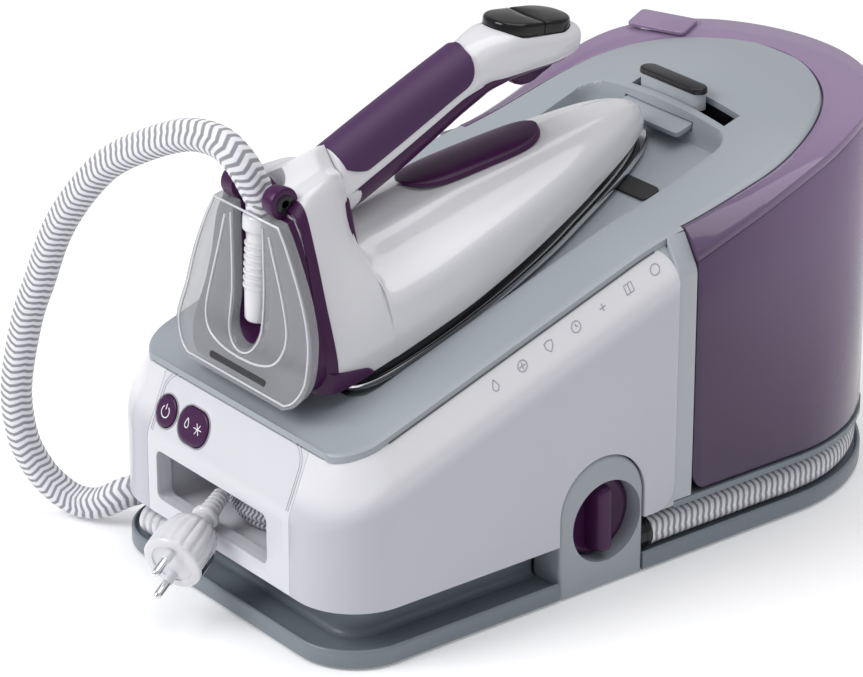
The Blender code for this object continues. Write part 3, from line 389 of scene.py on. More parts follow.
def between(value, knots):
    """A smooth curve through (place, value) knots, level past its ends."""
    if value <= knots[0][0]:
        return knots[0][1]
    for i in range(len(knots) - 1):
        if value <= knots[i + 1][0]:
            before = knots[max(i - 1, 0)]
            a, b = knots[i], knots[i + 1]
            after = knots[min(i + 2, len(knots) - 1)]
            span = b[0] - a[0]
            t = (value - a[0]) / span
            leave = (b[1] - before[1]) / (b[0] - before[0]) * span
            enter = (after[1] - a[1]) / (after[0] - a[0]) * span
            start = (2 * t**3 - 3 * t**2 + 1) * a[1] + (t**3 - 2 * t**2 + t) * leave
            return start + (3 * t**2 - 2 * t**3) * b[1] + (t**3 - t**2) * enter
    return knots[-1][1]


def refined(rows, per):
    """Rows of numbers made denser by a smooth curve through each column."""
    columns = [[(i, row[k]) for i, row in enumerate(rows)] for k in range(len(rows[0]))]
    steps = (len(rows) - 1) * per
    return [[between(i / per, column) for column in columns] for i in range(steps + 1)]


def through(points, spacing):
    """Even steps along a smooth curve through the points."""
    route = [Vector(p) for p in points]
    route = [2 * route[0] - route[1]] + route + [2 * route[-1] - route[-2]]
    fine = []
    for i in range(1, len(route) - 2):
        p0, p1, p2, p3 = route[i - 1 : i + 3]
        for step in range(40):
            t = step / 40
            square, cube = 2 * p0 - 5 * p1 + 4 * p2 - p3, 3 * p1 - p0 - 3 * p2 + p3
            fine.append(0.5 * (2 * p1 + (p2 - p0) * t + square * t * t + cube * t**3))
    fine.append(route[-2])
    total = sum((b - a).length for a, b in zip(fine, fine[1:]))
    pieces = max(2, round(total / spacing))
    found = [fine[0]]
    walked = 0.0
    for a, b in zip(fine, fine[1:]):
        length = (b - a).length
        while len(found) < pieces and walked + length >= total * len(found) / pieces:
            found.append(a.lerp(b, (total * len(found) / pieces - walked) / length))
        walked += length
    found.append(fine[-1])
    return found


def tube(name, path, radius, finish_name, sides=16, relief=None):
    """A round tube with a texture layout of (turn, length); relief(turn, length) adds to its radius."""
    points, lengths = [], []
    side = (path[1] - path[0]).normalized().orthogonal().normalized()
    walked = 0.0
    for i, centre in enumerate(path):
        if i:
            walked += (centre - path[i - 1]).length
        ahead = (path[min(i + 1, len(path) - 1)] - path[max(i - 1, 0)]).normalized()
        side = (side - side.dot(ahead) * ahead).normalized()
        across = ahead.cross(side)
        for j in range(sides):
            angle = 2 * math.pi * j / sides
            grow = relief(j / sides, walked) if relief else 0.0
            points.append(centre + (side * math.cos(angle) + across * math.sin(angle)) * (radius + grow))
        lengths.append(walked * MM)
    faces, uvs = [], []
    for i in range(len(path) - 1):
        for j in range(sides):
            k = (j + 1) % sides
            faces.append((i * sides + j, i * sides + k, (i + 1) * sides + k, (i + 1) * sides + j))
            uvs += [((j + a) / sides, lengths[i + b]) for a, b in ((0, 0), (1, 0), (1, 1), (0, 1))]
    faces.append(tuple(reversed(range(sides))))
    faces.append(tuple(range((len(path) - 1) * sides, len(path) * sides)))
    uvs += [(0.0, 0.0)] * (2 * sides)
    return make(name, points, faces, finish_name, uvs=uvs, sharp=60.0)


def line(name, points, radius, finish_name, body, place=Vector):
    """A thin raised or dark line laid along a surface."""
    return piece(tube(name, [place(p) for p in points], radius, finish_name, sides=8), body)


# ---------------------------------------------------------------- the body's own sizes
HALF_WIDTH = 118.0
HALF_LENGTH = 232.3
CORNER_RADIUS = 40.0
BACK_CENTRE_Y = 114.3
CORNER_X = 78.0
CORNER_Y = -192.3
TRAY_LIP = 12.3
TRAY_FLOOR = 9.3
GROOVE_INSET = 24.5
PLINTH_TOP = 34.2
BODY_BOTTOM = 36.0
PLATE_TOP = 38.3
WALL = 3.0
DECK_INSET = 13.7
DECK_THICK = 4.4
CREASE_FRONT = 85.0
BODY_BACK = 12.7
FRAME_BACK = 26.7
REST_SLOPE = math.radians(17.23)
IRON_ORIGIN = Vector((0.0, -168.0, 139.0))
RECESS_HALF = 63.8
RECESS_FRONT = -178.0
RECESS_BACK = 97.3
KNOB_Y = -39.0
KNOB_Z = 42.0
TOWER_Y = -42.5
TOWER_HALF = 31.5
TOWER_TOP = 84.3
HOSE_INSET = 13.2
HOSE_Z = 19.3
TIP = 266.0


def footprint(inset, back_steps=96, corner_steps=14):
    """The base from above: a half round back and two rounded front corners."""
    points = arc((0, BACK_CENTRE_Y), HALF_WIDTH - inset, 0, 180, back_steps)
    points += arc((-CORNER_X, CORNER_Y), CORNER_RADIUS - inset, 180, 270, corner_steps)
    points += arc((CORNER_X, CORNER_Y), CORNER_RADIUS - inset, 270, 360, corner_steps)
    return points


def deck_plane(y):
    return 126.5 + 0.341 * (y + 216.0)


def deck_middle(y):
    knots = [(place, deck_plane(place)) for place in (-216.0, -100.0, 0.0)]
    knots += [(40.0, deck_plane(40.0) - 0.5), (107.0, 240.0), (150.0, 248.0), (196.0, 246.5)]
    return between(y, knots)


def deck_top(x, y):
    """The deck's height: level across in front, and crowned towards the back."""
    crown = 15.5 * smooth_step(y, -10.0, 120.0)
    return deck_middle(y) - crown * (x / 100.0) ** 2


def rest_floor(y):
    """The floor of the recess, 2 mm under the iron's sole and parallel to it."""
    return IRON_ORIGIN.z - 2.0 / math.cos(REST_SLOPE) + math.tan(REST_SLOPE) * (y - IRON_ORIGIN.y)


def crease_height(y):
    return 108.1 + 0.345 * (y + 203.0)


def rim_height(y):
    knots = [(26.0, 187.4), (80.0, 205.4), (125.0, 223.0), (160.0, 233.5), (200.0, 238.0), (233.0, 238.5)]
    return between(y, knots)


def tank_side(position, inset):
    """Points on the tank's three outlines, from its right front (0) round the back to its left front (1)."""
    front = FRAME_BACK + 0.8 + inset
    curves = {
        "outer": (HALF_WIDTH - 1.0, BACK_CENTRE_Y, HALF_WIDTH - 1.0),
        "rim": (101.1, 88.0, 108.4),
        "inner": (82.0, 88.0, 85.0),
    }
    straight = 0.22
    points = {}
    for name, (half, centre, depth) in curves.items():
        change = inset if name == "inner" else -inset
        a, b = half + change, depth + change
        if position < straight:
            points[name] = (a, front + (centre - front) * position / straight)
        elif position > 1 - straight:
            points[name] = (-a, front + (centre - front) * (1 - position) / straight)
        else:
            angle = math.pi * (position - straight) / (1 - 2 * straight)
            points[name] = (a * math.cos(angle), centre + b * math.sin(angle))
    return points


def iron(p):
    """From the iron's own frame (across, along the sole, away from it) to the room."""
    x, s, n = p
    c, d = math.cos(REST_SLOPE), math.sin(REST_SLOPE)
    return IRON_ORIGIN + Vector((x, c * s - d * n, d * s + c * n))


def tilted(centre, degrees):
    """A frame on the iron, turned about the line across it."""
    c, d = math.cos(math.radians(degrees)), math.sin(math.radians(degrees))

    def place(p):
        x, s, n = p
        return iron((centre[0] + x, centre[1] + c * s - d * n, centre[2] + d * s + c * n))

    return place


# ---------------------------------------------------------------- tray, plinth and feet
profile = [(1.6, 1.0), (0.5, 1.3), (0.0, 2.4), (0.0, 10.6), (0.2, 11.5), (0.8, 12.1), (1.5, TRAY_LIP)]
profile += [(2.1, 12.1), (2.6, 11.5), (2.9, 10.6), (3.3, 9.8), (4.2, 9.4), (5.5, TRAY_FLOOR)]
tray = loft("tray", [flat(footprint(inset), z) for inset, z in profile], "tray_grey")
gap = TOWER_HALF + FIT
carve(tray, block("notch", (93.0, TOWER_Y - gap, -1.0), (125.0, TOWER_Y + gap, 20.0)))
piece(tray, "base", "base_tray")
profile = [(20.6, 9.45), (22.0, 9.7), (23.3, 10.6), (24.2, 12.2), (GROOVE_INSET, 14.5), (GROOVE_INSET, 32.2)]
profile += [(24.9, 33.5), (26.0, PLINTH_TOP), (28.0, PLINTH_TOP)]
plinth = loft("plinth", [flat(footprint(inset), z) for inset, z in profile], "tray_grey")
carve(plinth, block("notch", (88.0, -76.0, 0.0), (100.0, -8.0, 50.0)))
piece(plinth, "base", "base_plinth")
for side, x in (("left", -80.0), ("right", 80.0)):
    for end, y in (("front", -190.0), ("rear", 150.0)):
        profile = [(0.0, 7.6), (0.3, 8.6), (1.0, 9.0), (3.0, 9.0)]
        foot = turned(f"foot.{end}.{side}", profile, (x, y, 0.0), (0, 0, 1), "rubber", sides=40)
        piece(foot, "base", f"foot_{end}_{side}")


# ---------------------------------------------------------------- white body
def wall_section(x, y, normal, frontness, skin=0.0):
    """One upright section of the shell, its crease rounded; frontness is 0 on the sides and 1 in front."""
    crease = crease_height(y) * (1 - frontness) + CREASE_FRONT * frontness
    lean = DECK_INSET - 0.3 + 1.3 * frontness
    top = deck_top(x + normal[0] * lean, y + normal[1] * lean) - DECK_THICK - 2 * FIT
    soft = 5.0
    slope = lean / (top - crease)
    a, b, c = Vector((0.0, crease - soft)), Vector((0.0, crease)), Vector((slope * soft, crease + soft))
    outer = [(0.0, BODY_BOTTOM), (0.0, BODY_BOTTOM + 0.9), (0.0, 60.0)]
    for i in range(9):
        t = i / 8
        p = (1 - t) ** 2 * a + 2 * t * (1 - t) * b + t * t * c
        outer.append((p.x, p.y))
    outer += [(lean * 0.5 + slope * soft * 0.5, (top + crease + soft) / 2), (lean, top)]
    section = [(d + skin, z) for d, z in outer] + [(d + WALL, z) for d, z in reversed(outer)]
    return [(x + normal[0] * d, y + normal[1] * d, z) for d, z in section]


SEAM_X = CORNER_X - 8.0
for side, sign in SIDES:
    edge_x, inward = sign * HALF_WIDTH, (-sign, 0)
    stations = [
        wall_section(edge_x, BODY_BACK + (CORNER_Y - BODY_BACK) * i / 40, inward, 0.0) for i in range(40)
    ]
    for i in range(29):
        turn = math.radians(90 * i / 28)
        normal = (-sign * math.cos(turn), math.sin(turn))
        x = sign * CORNER_X - CORNER_RADIUS * normal[0]
        y = CORNER_Y - CORNER_RADIUS * normal[1]
        stations.append(wall_section(x, y, normal, math.sin(turn) ** 2))
    stations.append(wall_section(sign * (SEAM_X + 0.15), -HALF_LENGTH, (0, 1), 1.0))
    shell = loft(f"shell.{side}", stations, "pearl_white", sharp=28.0)
    cutters = []
    top = deck_top(sign * 104.0, BODY_BACK) - DECK_THICK
    for z, corner, turn in ((BODY_BOTTOM, 15.0, -1), (top, 13.0, 1)):
        outline = arc((BODY_BACK - corner, z - turn * corner), corner, 0, turn * 90, 12)
        outline += [(BODY_BACK - corner, z + turn * 9.0), (BODY_BACK + 5.0, z + turn * 9.0)]
        outline += [(BODY_BACK + 5.0, z - turn * corner)]
        cutters.append(drawn("corner", outline, (sign * 90.0, sign * 125.0)))
    if side == "right":
        outline = [(TOWER_Y - TOWER_HALF - 0.6, 0.0), (TOWER_Y + TOWER_HALF + 0.6, 0.0)]
        outline += arc((TOWER_Y, TOWER_TOP - TOWER_HALF), TOWER_HALF + 0.6, 0, 180, 48)
        cutters.append(drawn("tower", outline, (90.0, 130.0)))
    carve(shell, *cutters)
    soften(shell, 0.9, 3, 50.0, 28.0)
    piece(shell, "base", f"side_shell_{side}")
    filler = [wall_section(edge_x, BODY_BACK + 0.2 - 22.0 * i / 5, inward, 0.0, 0.7) for i in range(6)]
    piece(loft(f"shell.filler.{side}", filler, "frame_grey", sharp=28.0), "base")

FACE_LEAN = DECK_INSET + 1.0
FACE_RUN = FACE_LEAN / (deck_plane(-HALF_LENGTH + FACE_LEAN) - DECK_THICK - FIT - CREASE_FRONT)


def on_face(x, height):
    """A frame of points on the leaning upper face of the front: across, up it, out of it."""
    start = Vector((x, -HALF_LENGTH + FACE_RUN * (height - CREASE_FRONT), height))
    normal = Vector((0, -1, FACE_RUN)).normalized()
    up = normal.cross(Vector((1, 0, 0)))

    def place(p):
        return start + Vector((1, 0, 0)) * p[0] + up * p[1] + normal * p[2]

    return place


columns = [-SEAM_X + 0.15 + (2 * SEAM_X - 0.3) * i / 20 for i in range(21)]
stations = [wall_section(x, -HALF_LENGTH, (0, 1), 1.0) for x in columns]
panel = loft("panel", stations, "panel_white", sharp=28.0)
OPENING_LOW, OPENING_HIGH = (-61.0, 46.5), (48.5, 78.0)
cutters = [drawn("opening", rounded_rectangle(OPENING_LOW, OPENING_HIGH, 5.0, 10), (-250.0, -220.0), "y")]
BUTTON_Z = 101.5
BUTTONS = {
    # place across, half width, half height, corner
    "power_button": (-58.0, 9.4, 9.4, 9.38),
    "steam_button": (-31.0, 14.0, 10.6, 10.0),
}
for name, (x, half, tall, corner) in BUTTONS.items():
    outline = centred(half + 0.6, tall + 0.6, corner + 0.55, 12)
    cutters.append(loft("hole", [flat(outline, n) for n in (-10.0, 6.0)], "rubber", on_face(x, BUTTON_Z)))
carve(panel, *cutters)
soften(panel, 0.7, 3, 50.0, 28.0)
piece(panel, "base", "front_panel")

KEY_ROWS = ((0.0, -4.5), (0.0, 0.1), (0.15, 0.6), (0.5, 0.95), (1.1, 1.15), (2.4, 1.2))
for name, (x, half, tall, corner) in BUTTONS.items():
    place = on_face(x, BUTTON_Z)
    rings = stacked(half, tall, corner - 0.02, KEY_ROWS, 12)
    piece(loft(name + ".key", rings, "plum", place, sharp=50.0), name, name)
    # painted shade: a grey ring round each key stands for the shade in its gap
    surround = flat(centred(half + 1.0, tall + 1.0, corner + 0.9, 12), 0.12)
    line(name + ".surround", surround + surround[:1], 0.45, "soft_seam_shade", "base", place)


def key_sign(name, button, points, radius):
    """A plain raised sign on a key, given as (across, up) points."""
    line(name, flat(points, 1.25), radius, "icon_white", button, on_face(BUTTONS[button][0], BUTTON_Z))


key_sign("power.ring", "power_button", arc((0, -0.3), 3.6, 125, 415, 28), 0.36)
key_sign("power.bar", "power_button", [(0, 1.0), (0, 4.4)], 0.36)
turns = [2 * math.pi * i / 28 for i in range(29)]
drop = [(-5.5 + 2.3 * math.sin(a) * math.sin(a / 2) ** 1.3, 3.6 - 3.0 * (1 - math.cos(a))) for a in turns]
key_sign("steam.drop", "steam_button", drop, 0.3)
for i in range(3):
    arm = Vector((3.6 * math.cos(math.radians(60 * i)), 3.6 * math.sin(math.radians(60 * i))))
    key_sign(f"steam.star.{i}", "steam_button", [Vector((5.2, 0)) - arm, Vector((5.2, 0)) + arm], 0.3)

# ---------------------------------------------------------------- cord compartment
outer = rounded_rectangle((-66.0, 40.0), (56.0, 82.0), 5.0, 10)
inner = rounded_rectangle((-63.8, 42.2), (53.8, 79.8), 3.5, 10)
front, back = -HALF_LENGTH + WALL + FIT, -112.0
levels = ((inner, back - 2.0), (inner, front), (outer, front), (outer, back))
compartment = loft("compartment", [[(x, y, z) for x, z in outline] for outline, y in levels], "panel_white")
piece(compartment, "base", "cord_compartment")
rings = []
for inset, y in ((-0.5, -229.4), (0.0, -229.0), (0.0, -222.0), (-0.5, -222.0)):
    low, high = Vector(OPENING_LOW) + Vector((inset, inset)), Vector(OPENING_HIGH) - Vector((inset, inset))
    rings.append([(x, y, z) for x, z in rounded_rectangle(low, high, 5.0 - inset, 10)])
piece(loft("compartment.rim", rings, "panel_white", closed=True), "base")

# ---------------------------------------------------------------- grey deck

def deck_width(y):
    if y < CORNER_Y:
        reach = CORNER_RADIUS - DECK_INSET
        return CORNER_X + math.sqrt(max(0.0, reach**2 - (CORNER_Y - y) ** 2))
    if y <= 26.4:
        return HALF_WIDTH - DECK_INSET
    if y <= 88.0:
        return 100.0
    return 100.0 * math.sqrt(1 - ((y - 88.0) / 107.0) ** 2)


def recess_depth(x, y):
    """From 0 on the deck to 1 in the recess, with rounded corners and a soft edge."""
    corner = 13.0
    dx = abs(x) - (RECESS_HALF - corner)
    middle = (RECESS_FRONT + RECESS_BACK) / 2
    dy = abs(y - middle) - ((RECESS_BACK - RECESS_FRONT) / 2 - corner)
    outside = math.hypot(max(dx, 0.0), max(dy, 0.0)) + min(max(dx, dy), 0.0) - corner
    return 1.0 - smooth_step(outside, -2.4, 1.2)


def deck_height(x, y):
    plain = deck_top(x, y)
    inside = recess_depth(x, y)
    if inside <= 0.0:
        return plain
    return plain + (rest_floor(y) - plain) * inside


def even(start, step, count):
    return [start + step * i for i in range(count)]


def deck_solid():
    """The deck as a grid over a grid, finer along the front edge and the ends of the recess."""
    rows = even(-217.3, 0.35, 4) + even(-215.5, 1.8, 18) + even(-182.0, 0.75, 10) + even(-174.0, 3.0, 66)
    rows += [24.6, 26.3, 26.5] + even(29.0, 3.0, 17) + even(79.5, 0.85, 26) + even(102.5, 2.4, 34)
    rows += even(185.0, 1.0, 9)
    rows = sorted(set(round(y, 3) for y in rows if y <= 193.0))
    top, low = [], []
    for y in rows:
        width = deck_width(y)
        wall = min(RECESS_HALF, 0.66 * width)
        half = [0.0] + [(wall - 14.0) * (i + 1) / 9 for i in range(9)]
        half += [wall - 14.0 + 15.6 * (i + 1) / 18 for i in range(18)]
        half += [wall + 1.6 + (width - wall - 1.6) * (i + 1) / 14 for i in range(14)]
        line_of = []
        for x in half:
            edge = smooth_step(x, width - 1.3, width)
            line_of.append((x, deck_height(x, y) - edge))
        upper = [(-x, y, z) for x, z in reversed(line_of[1:])] + [(x, y, z) for x, z in line_of]
        under = [(x, y, min(z, rest_floor(y) if recess_depth(x, y) > 0 else z) - 4.0) for x, y, z in upper]
        top.append(upper)
        low.append(under)
    columns = len(top[0])
    points = [p for grid in (top, low) for row in grid for p in row]
    under = len(rows) * columns
    faces = []
    for base in (0, under):
        for i in range(len(rows) - 1):
            for j in range(columns - 1):
                a = base + i * columns + j
                faces.append((a, a + 1, a + columns + 1, a + columns))
    rim = [(0, j) for j in range(columns)] + [(i, columns - 1) for i in range(1, len(rows))]
    rim += [(len(rows) - 1, j) for j in range(columns - 2, -1, -1)]
    rim += [(i, 0) for i in range(len(rows) - 2, 0, -1)]
    for (a, b), (c, d) in zip(rim, rim[1:] + rim[:1]):
        p, q = a * columns + b, c * columns + d
        faces.append((p, q, q + under, p + under))
    return make("deck", points, faces, "deck_grey", sharp=50.0)


deck = deck_solid()
slot_cut = block("slot", (-31.0, 102.2, 200.0), (53.0, 114.8, 270.0))
tongue_cut = block("tongue slot", (-31.0, 270.0, 4.0), (31.0, 296.0, 9.6), iron)
carve(deck, slot_cut, tongue_cut)
piece(deck, "base", "top_deck")

outline = [(117.4, PLATE_TOP + FIT), (117.6, 60.0), (117.4, 181.0), (116.9, 183.6), (115.6, 186.8)]
outline += [(104.9, 204.0), (104.9, 193.0), (98.0, 188.0)]
outline += [(-x, z) for x, z in reversed(outline)]
rear = drawn("rear.frame", outline, (BODY_BACK + 0.1, FRAME_BACK), "y", "frame_grey")
soften(rear, 0.8, 3, 25.0, 30.0)
piece(rear, "base", "rear_frame")

# ---------------------------------------------------------------- descaler tower and knob
outline = [(TOWER_Y - TOWER_HALF, 1.0), (TOWER_Y + TOWER_HALF, 1.0)]
outline += arc((TOWER_Y, TOWER_TOP - TOWER_HALF), TOWER_HALF, 0, 180, 72)
rings = []
for shrink, x in ((0.0, 94.0), (0.0, 115.0), (0.2, 116.0), (0.8, 116.9), (1.7, 117.4), (2.8, 117.6)):
    ring = []
    for y, z in outline:
        foot = Vector((TOWER_Y, min(max(z, 1.2), TOWER_TOP - TOWER_HALF)))
        way = (Vector((y, max(z, 1.2))) - foot).normalized()
        ring.append((x, y - way.x * shrink, z - way.y * shrink))
    rings.append(ring)
tower = loft("tower", rings, "deck_grey", sharp=50.0)
carve(tower, turned("bore", [(0, 25.6), (60, 25.6)], (80.0, KNOB_Y, KNOB_Z), (1, 0, 0), "rubber", sides=96))
soften(tower, 1.6, 4, 60.0, 40.0)
piece(tower, "base", "knob_tower")
KNOB_BACK = 100.3
profile = [(0.0, 23.0), (0.4, 24.0), (1.2, 24.6), (5.2, 24.6), (6.6, 24.1), (7.3, 23.0), (7.0, 21.0)]
profile += [(5.6, 18.0), (4.8, 12.0), (4.6, 6.0)]
hub = turned("knob", profile, (KNOB_BACK, KNOB_Y, KNOB_Z), (1, 0, 0), "plum", sides=96, sharp=50.0)
piece(hub, "knob", "descale_knob")


def on_knob(p):
    return Vector((KNOB_BACK + p[2], KNOB_Y + p[0], KNOB_Z + p[1]))


grip_rows = ((0.0, 4.0), (0.0, 9.0), (0.5, 12.5), (1.2, 15.0), (2.2, 16.4), (3.6, 17.0), (5.0, 17.1))
piece(loft("knob.grip", stacked(6.5, 22.0, 6.0, grip_rows), "plum", on_knob, sharp=50.0), "knob")


# ---------------------------------------------------------------- water tank
def tank_ring(inset, height, steps=110):
    """Round the outside of the tank and back along its inner wall."""
    outside = [tank_side(i / steps, inset)["outer"] for i in range(steps + 1)]
    inside = [tank_side(i / steps, inset)["inner"] for i in range(steps, -1, -1)]
    return [(x, y, height(y)) for x, y in outside + inside]


floor = PLATE_TOP + 0.7
rings = []
for inset, raised in ((2.6, 0.0), (1.2, 0.7), (0.6, 2.4)):
    rings.append(tank_ring(inset, lambda y: floor + raised))
for inset, below in ((0.6, 1.6), (1.1, 0.8), (2.8, 0.8)):
    rings.append(tank_ring(inset, lambda y: rim_height(y) - below))
rings.append(tank_ring(2.8, lambda y: floor + 3.0))
tank = loft("tank", rings, "tank_purple", sharp=50.0)
corner, start = 14.0, FRAME_BACK + 1.4
outline = [(start + corner + y, floor + corner + z) for y, z in arc((0, 0), corner, 180, 270, 15)]
outline += [(start + corner, floor - 4.0), (start - 4.0, floor - 4.0), (start - 4.0, floor + corner)]
carve(tank, *(drawn("low corner", outline, (sign * 60.0, sign * 130.0)) for sign in (-1, 1)))
soften(tank, 1.3, 3, 60.0, 40.0)
piece(tank, "tank", "water_tank")

LID = 2.2  # the cover's thickness
sections = []
for i in range(111):
    here = tank_side(i / 110, 0.0)
    outside, rim, inside = (Vector(here[name]) for name in ("outer", "rim", "inner"))
    away = (outside - rim).normalized()
    low = rim_height(outside.y)
    room = DECK_THICK + LID + 3 * FIT
    low_rim = min(rim_height(rim.y), deck_top(rim.x, rim.y) - room)
    low_inner = min(rim_height(inside.y), deck_top(inside.x, inside.y) - room)
    high = deck_top(rim.x, rim.y) - 0.6
    section = [
        (inside, low_inner),
        (rim + away * LID, low_rim),
        (rim + away * LID, high - 2.6 * LID),
        (outside - away * 1.2 * LID, low),
        (outside - away * 0.4, low),
        (outside, low + 0.5),
        (outside, low + 3.0),
        (outside - away * 0.2, low + 4.4),
        (outside - away * 0.9, low + 5.6),
    ]
    top_out = outside - away * 0.9
    for step in range(1, 8):
        t = step / 8
        q = top_out.lerp(rim + away * 3.0, t)
        section.append((q, low + 5.6 + (high - low - 5.6) * t + 0.9 * math.sin(math.pi * t)))
    section += [
        (rim + away * 3.0, high),
        (rim + away * 1.2, high + 0.1),
        (rim + away * 0.2, high - 0.4),
        (rim, high - 1.4),
        (rim, low_rim + LID),
        (inside, low_inner + LID),
    ]
    sections.append([(p.x, p.y, z) for p, z in section])
cover = loft("tank.cover", sections, "tank_purple", sharp=40.0)

here = tank_side(0.66, 0.0)
outside, rim = Vector(here["outer"]), Vector(here["rim"])
low = Vector((outside.x, outside.y, rim_height(outside.y) + 5.5))
high = Vector((rim.x, rim.y, deck_top(rim.x, rim.y) - 0.6))
down = (low - high).normalized()
along = Vector((0, 0, 1)).cross(down).normalized()
normal = down.cross(along)
width = (low - high).length
hinge = (low + high) / 2 - down * (0.16 * width) + normal * 2.2


def on_flap(p):
    return hinge + along * p[0] + down * p[1] + normal * p[2]


hole = rounded_rectangle((-16.0, 3.0), (16.0, 0.50 * width), 3.0)
carve(cover, loft("filler", [flat(hole, n) for n in (-14.0, 6.0)], "rubber", on_flap))
piece(cover, "tank", "tank_cover")
outline = rounded_rectangle((-20.0, 0.0), (20.0, 0.62 * width), 3.0)
piece(plate("flap", outline, 0.0, 2.2, "tank_purple", on_flap, 0.8), "flap", "tank_flap")

# ---------------------------------------------------------------- lock
LOCK_Y = 108.5
on_deck = deck_top(0, LOCK_Y)
outline = rounded_rectangle((-28.0, LOCK_Y - 5.6), (28.0, LOCK_Y + 5.6), 5.55, 16)
narrow = [(x * 0.97, LOCK_Y + (y - LOCK_Y) * 0.9) for x, y in outline]
piece(plate("slider.stem", narrow, on_deck - 5.4, on_deck + 5.0, "frame_grey", edge=0.3), "slider")
cap = plate("slider", outline, on_deck + 5.0, on_deck + 8.6, "graphite", edge=1.6)
piece(cap, "slider", "lock_slider")
outline = rounded_rectangle((-30.0, 267.5), (30.0, 290.0), 3.0)
piece(plate("tongue", outline, 5.6, 8.8, "deck_grey", iron, 1.0), "tongue", "lock_tongue")

# ---------------------------------------------------------------- the iron: sole, skirt and shell
SOLE_KNOTS = [(-8.0, 38.0), (-5.0, 50.0), (4.0, 57.0), (20.0, 60.5), (45.0, 61.5), (75.0, 60.5)]
SOLE_KNOTS += [(110.0, 57.0), (150.0, 50.0), (182.0, 41.5), (208.0, 34.0), (230.0, 26.5), (248.0, 18.5)]
SOLE_KNOTS += [(259.0, 11.0), (264.5, 5.0)]


def sole_outline(inset, tip):
    """The sole's outline drawn in by inset, its front part scaled to end at tip."""
    scale = (tip - 30.0) / (TIP - 30.0)
    right = []
    for s, half in refined(SOLE_KNOTS, 7):
        place = s + inset if s < 0 else (s if s < 30 else 30 + (s - 30) * scale)
        right.append((max(half - inset, 1.0), place))
    end_half, end_place = right[-1]
    for i in range(1, 7):
        a = math.radians(90 * i / 7)
        right.append((end_half * math.cos(a), end_place + (tip - 0.6 * inset - end_place) * math.sin(a)))
    left = [(-x, s) for x, s in reversed(right)]
    return right + [(0.0, tip - 0.6 * inset)] + left


rows = [(2.6, 0.0), (1.2, 0.3), (0.4, 1.2), (0.0, 2.4), (0.1, 3.6), (0.5, 4.7)]
rings = [flat(sole_outline(inset, TIP), n) for inset, n in rows]
piece(loft("sole", rings, "steel", iron, sharp=40.0), "iron", "soleplate")
rows = [(1.2, 259.0, 5.0), (0.8, 259.3, 6.0), (0.6, 259.5, 9.0), (0.9, 259.4, 11.2), (1.8, 259.0, 12.0)]
rows += [(7.0, 250.0, 12.0), (7.0, 250.0, 5.0)]
rings = [flat(sole_outline(inset, tip), n) for inset, tip, n in rows]
skirt = loft("skirt", rings, "graphite", iron, closed=True, sharp=40.0)
piece(skirt, "iron", "iron_skirt")

HEEL_LEAN = 0.27
STATIONS = [
    # place 20 mm up, lean, half width, rise, then (share of half, share of rise) for crown, flank and belly
    (-20.7, HEEL_LEAN, 54.0, 105.0, 0.60, 0.92, 0.74, 0.76, 0.86, 0.46),
    (-9.0, HEEL_LEAN, 58.0, 108.5, 0.50, 0.92, 0.66, 0.72, 0.84, 0.44),
    (12.0, HEEL_LEAN, 60.8, 109.0, 0.38, 0.89, 0.54, 0.64, 0.84, 0.40),
    (25.6, HEEL_LEAN, 61.5, 106.5, 0.28, 0.85, 0.42, 0.56, 0.82, 0.36),
    (27.5, 0.22, 61.5, 64.0, 0.40, 0.88, 0.60, 0.70, 0.90, 0.53),
    (50.0, 0.12, 61.5, 59.0, 0.42, 0.88, 0.60, 0.69, 0.90, 0.53),
    (80.0, 0.0, 60.5, 56.5, 0.42, 0.88, 0.60, 0.69, 0.90, 0.53),
    (108.0, 0.0, 57.0, 53.5, 0.42, 0.88, 0.60, 0.69, 0.90, 0.53),
    (136.0, 0.0, 52.0, 48.5, 0.42, 0.88, 0.61, 0.70, 0.90, 0.53),
    (175.0, 0.0, 42.8, 40.5, 0.44, 0.88, 0.64, 0.71, 0.90, 0.53),
    (206.0, 0.0, 33.5, 34.5, 0.46, 0.88, 0.68, 0.72, 0.90, 0.53),
    (234.0, 0.0, 24.0, 27.5, 0.5, 0.88, 0.72, 0.73, 0.90, 0.53),
    (252.0, 0.0, 15.5, 20.5, 0.55, 0.88, 0.74, 0.73, 0.90, 0.53),
    (261.0, 0.0, 9.0, 14.5, 0.6, 0.9, 0.76, 0.75, 0.90, 0.53),
    (265.3, 0.0, 4.0, 9.5, 0.65, 0.9, 0.78, 0.75, 0.90, 0.53),
]


def shell_ring(row, out=0.0):
    """The white shell's outline at one station; out swells it for the band that lies on it."""
    place, lean, half, rise, crown, shoulder, flank, flank_rise, belly, belly_rise = row
    right = [
        (0.985 * half, 0.0),
        (0.998 * half, 0.012 * rise),
        (0.99 * half, 0.40 * belly_rise * rise),
        (belly * half, belly_rise * rise),
        (flank * half, flank_rise * rise),
        (crown * half, shoulder * rise),
        (0.52 * crown * half, (0.35 + 0.65 * shoulder) * rise),
        (0.0, rise),
    ]
    right = refined(right, 6)
    right[-1] = [0.0, rise]
    ring = right + [(-x, n) for x, n in reversed(right[:-1])]
    swollen = [(x * (1 + out / 50.0), n + out * smooth_step(n, 80.0, 100.0)) for x, n in ring]
    return [(x, place + lean * (n - 7.7), 12.3 + n) for x, n in swollen]


STAND_THICK = 6.0
STAND_BACK = [(14.0, -48.0), (20.0, -44.5), (31.0, -38.0), (53.0, -25.4), (101.0, -9.8), (110.0, -7.4)]
BOOT_LOW, BOOT_HIGH = Vector((0.0, -21.5, 42.0)), Vector((0.0, 2.0, 102.5))


def heel_face(n):
    """Where the shell's rear end lies at a height, which is the heel plate's front."""
    return -21.0 + HEEL_LEAN * (n - 20.0)


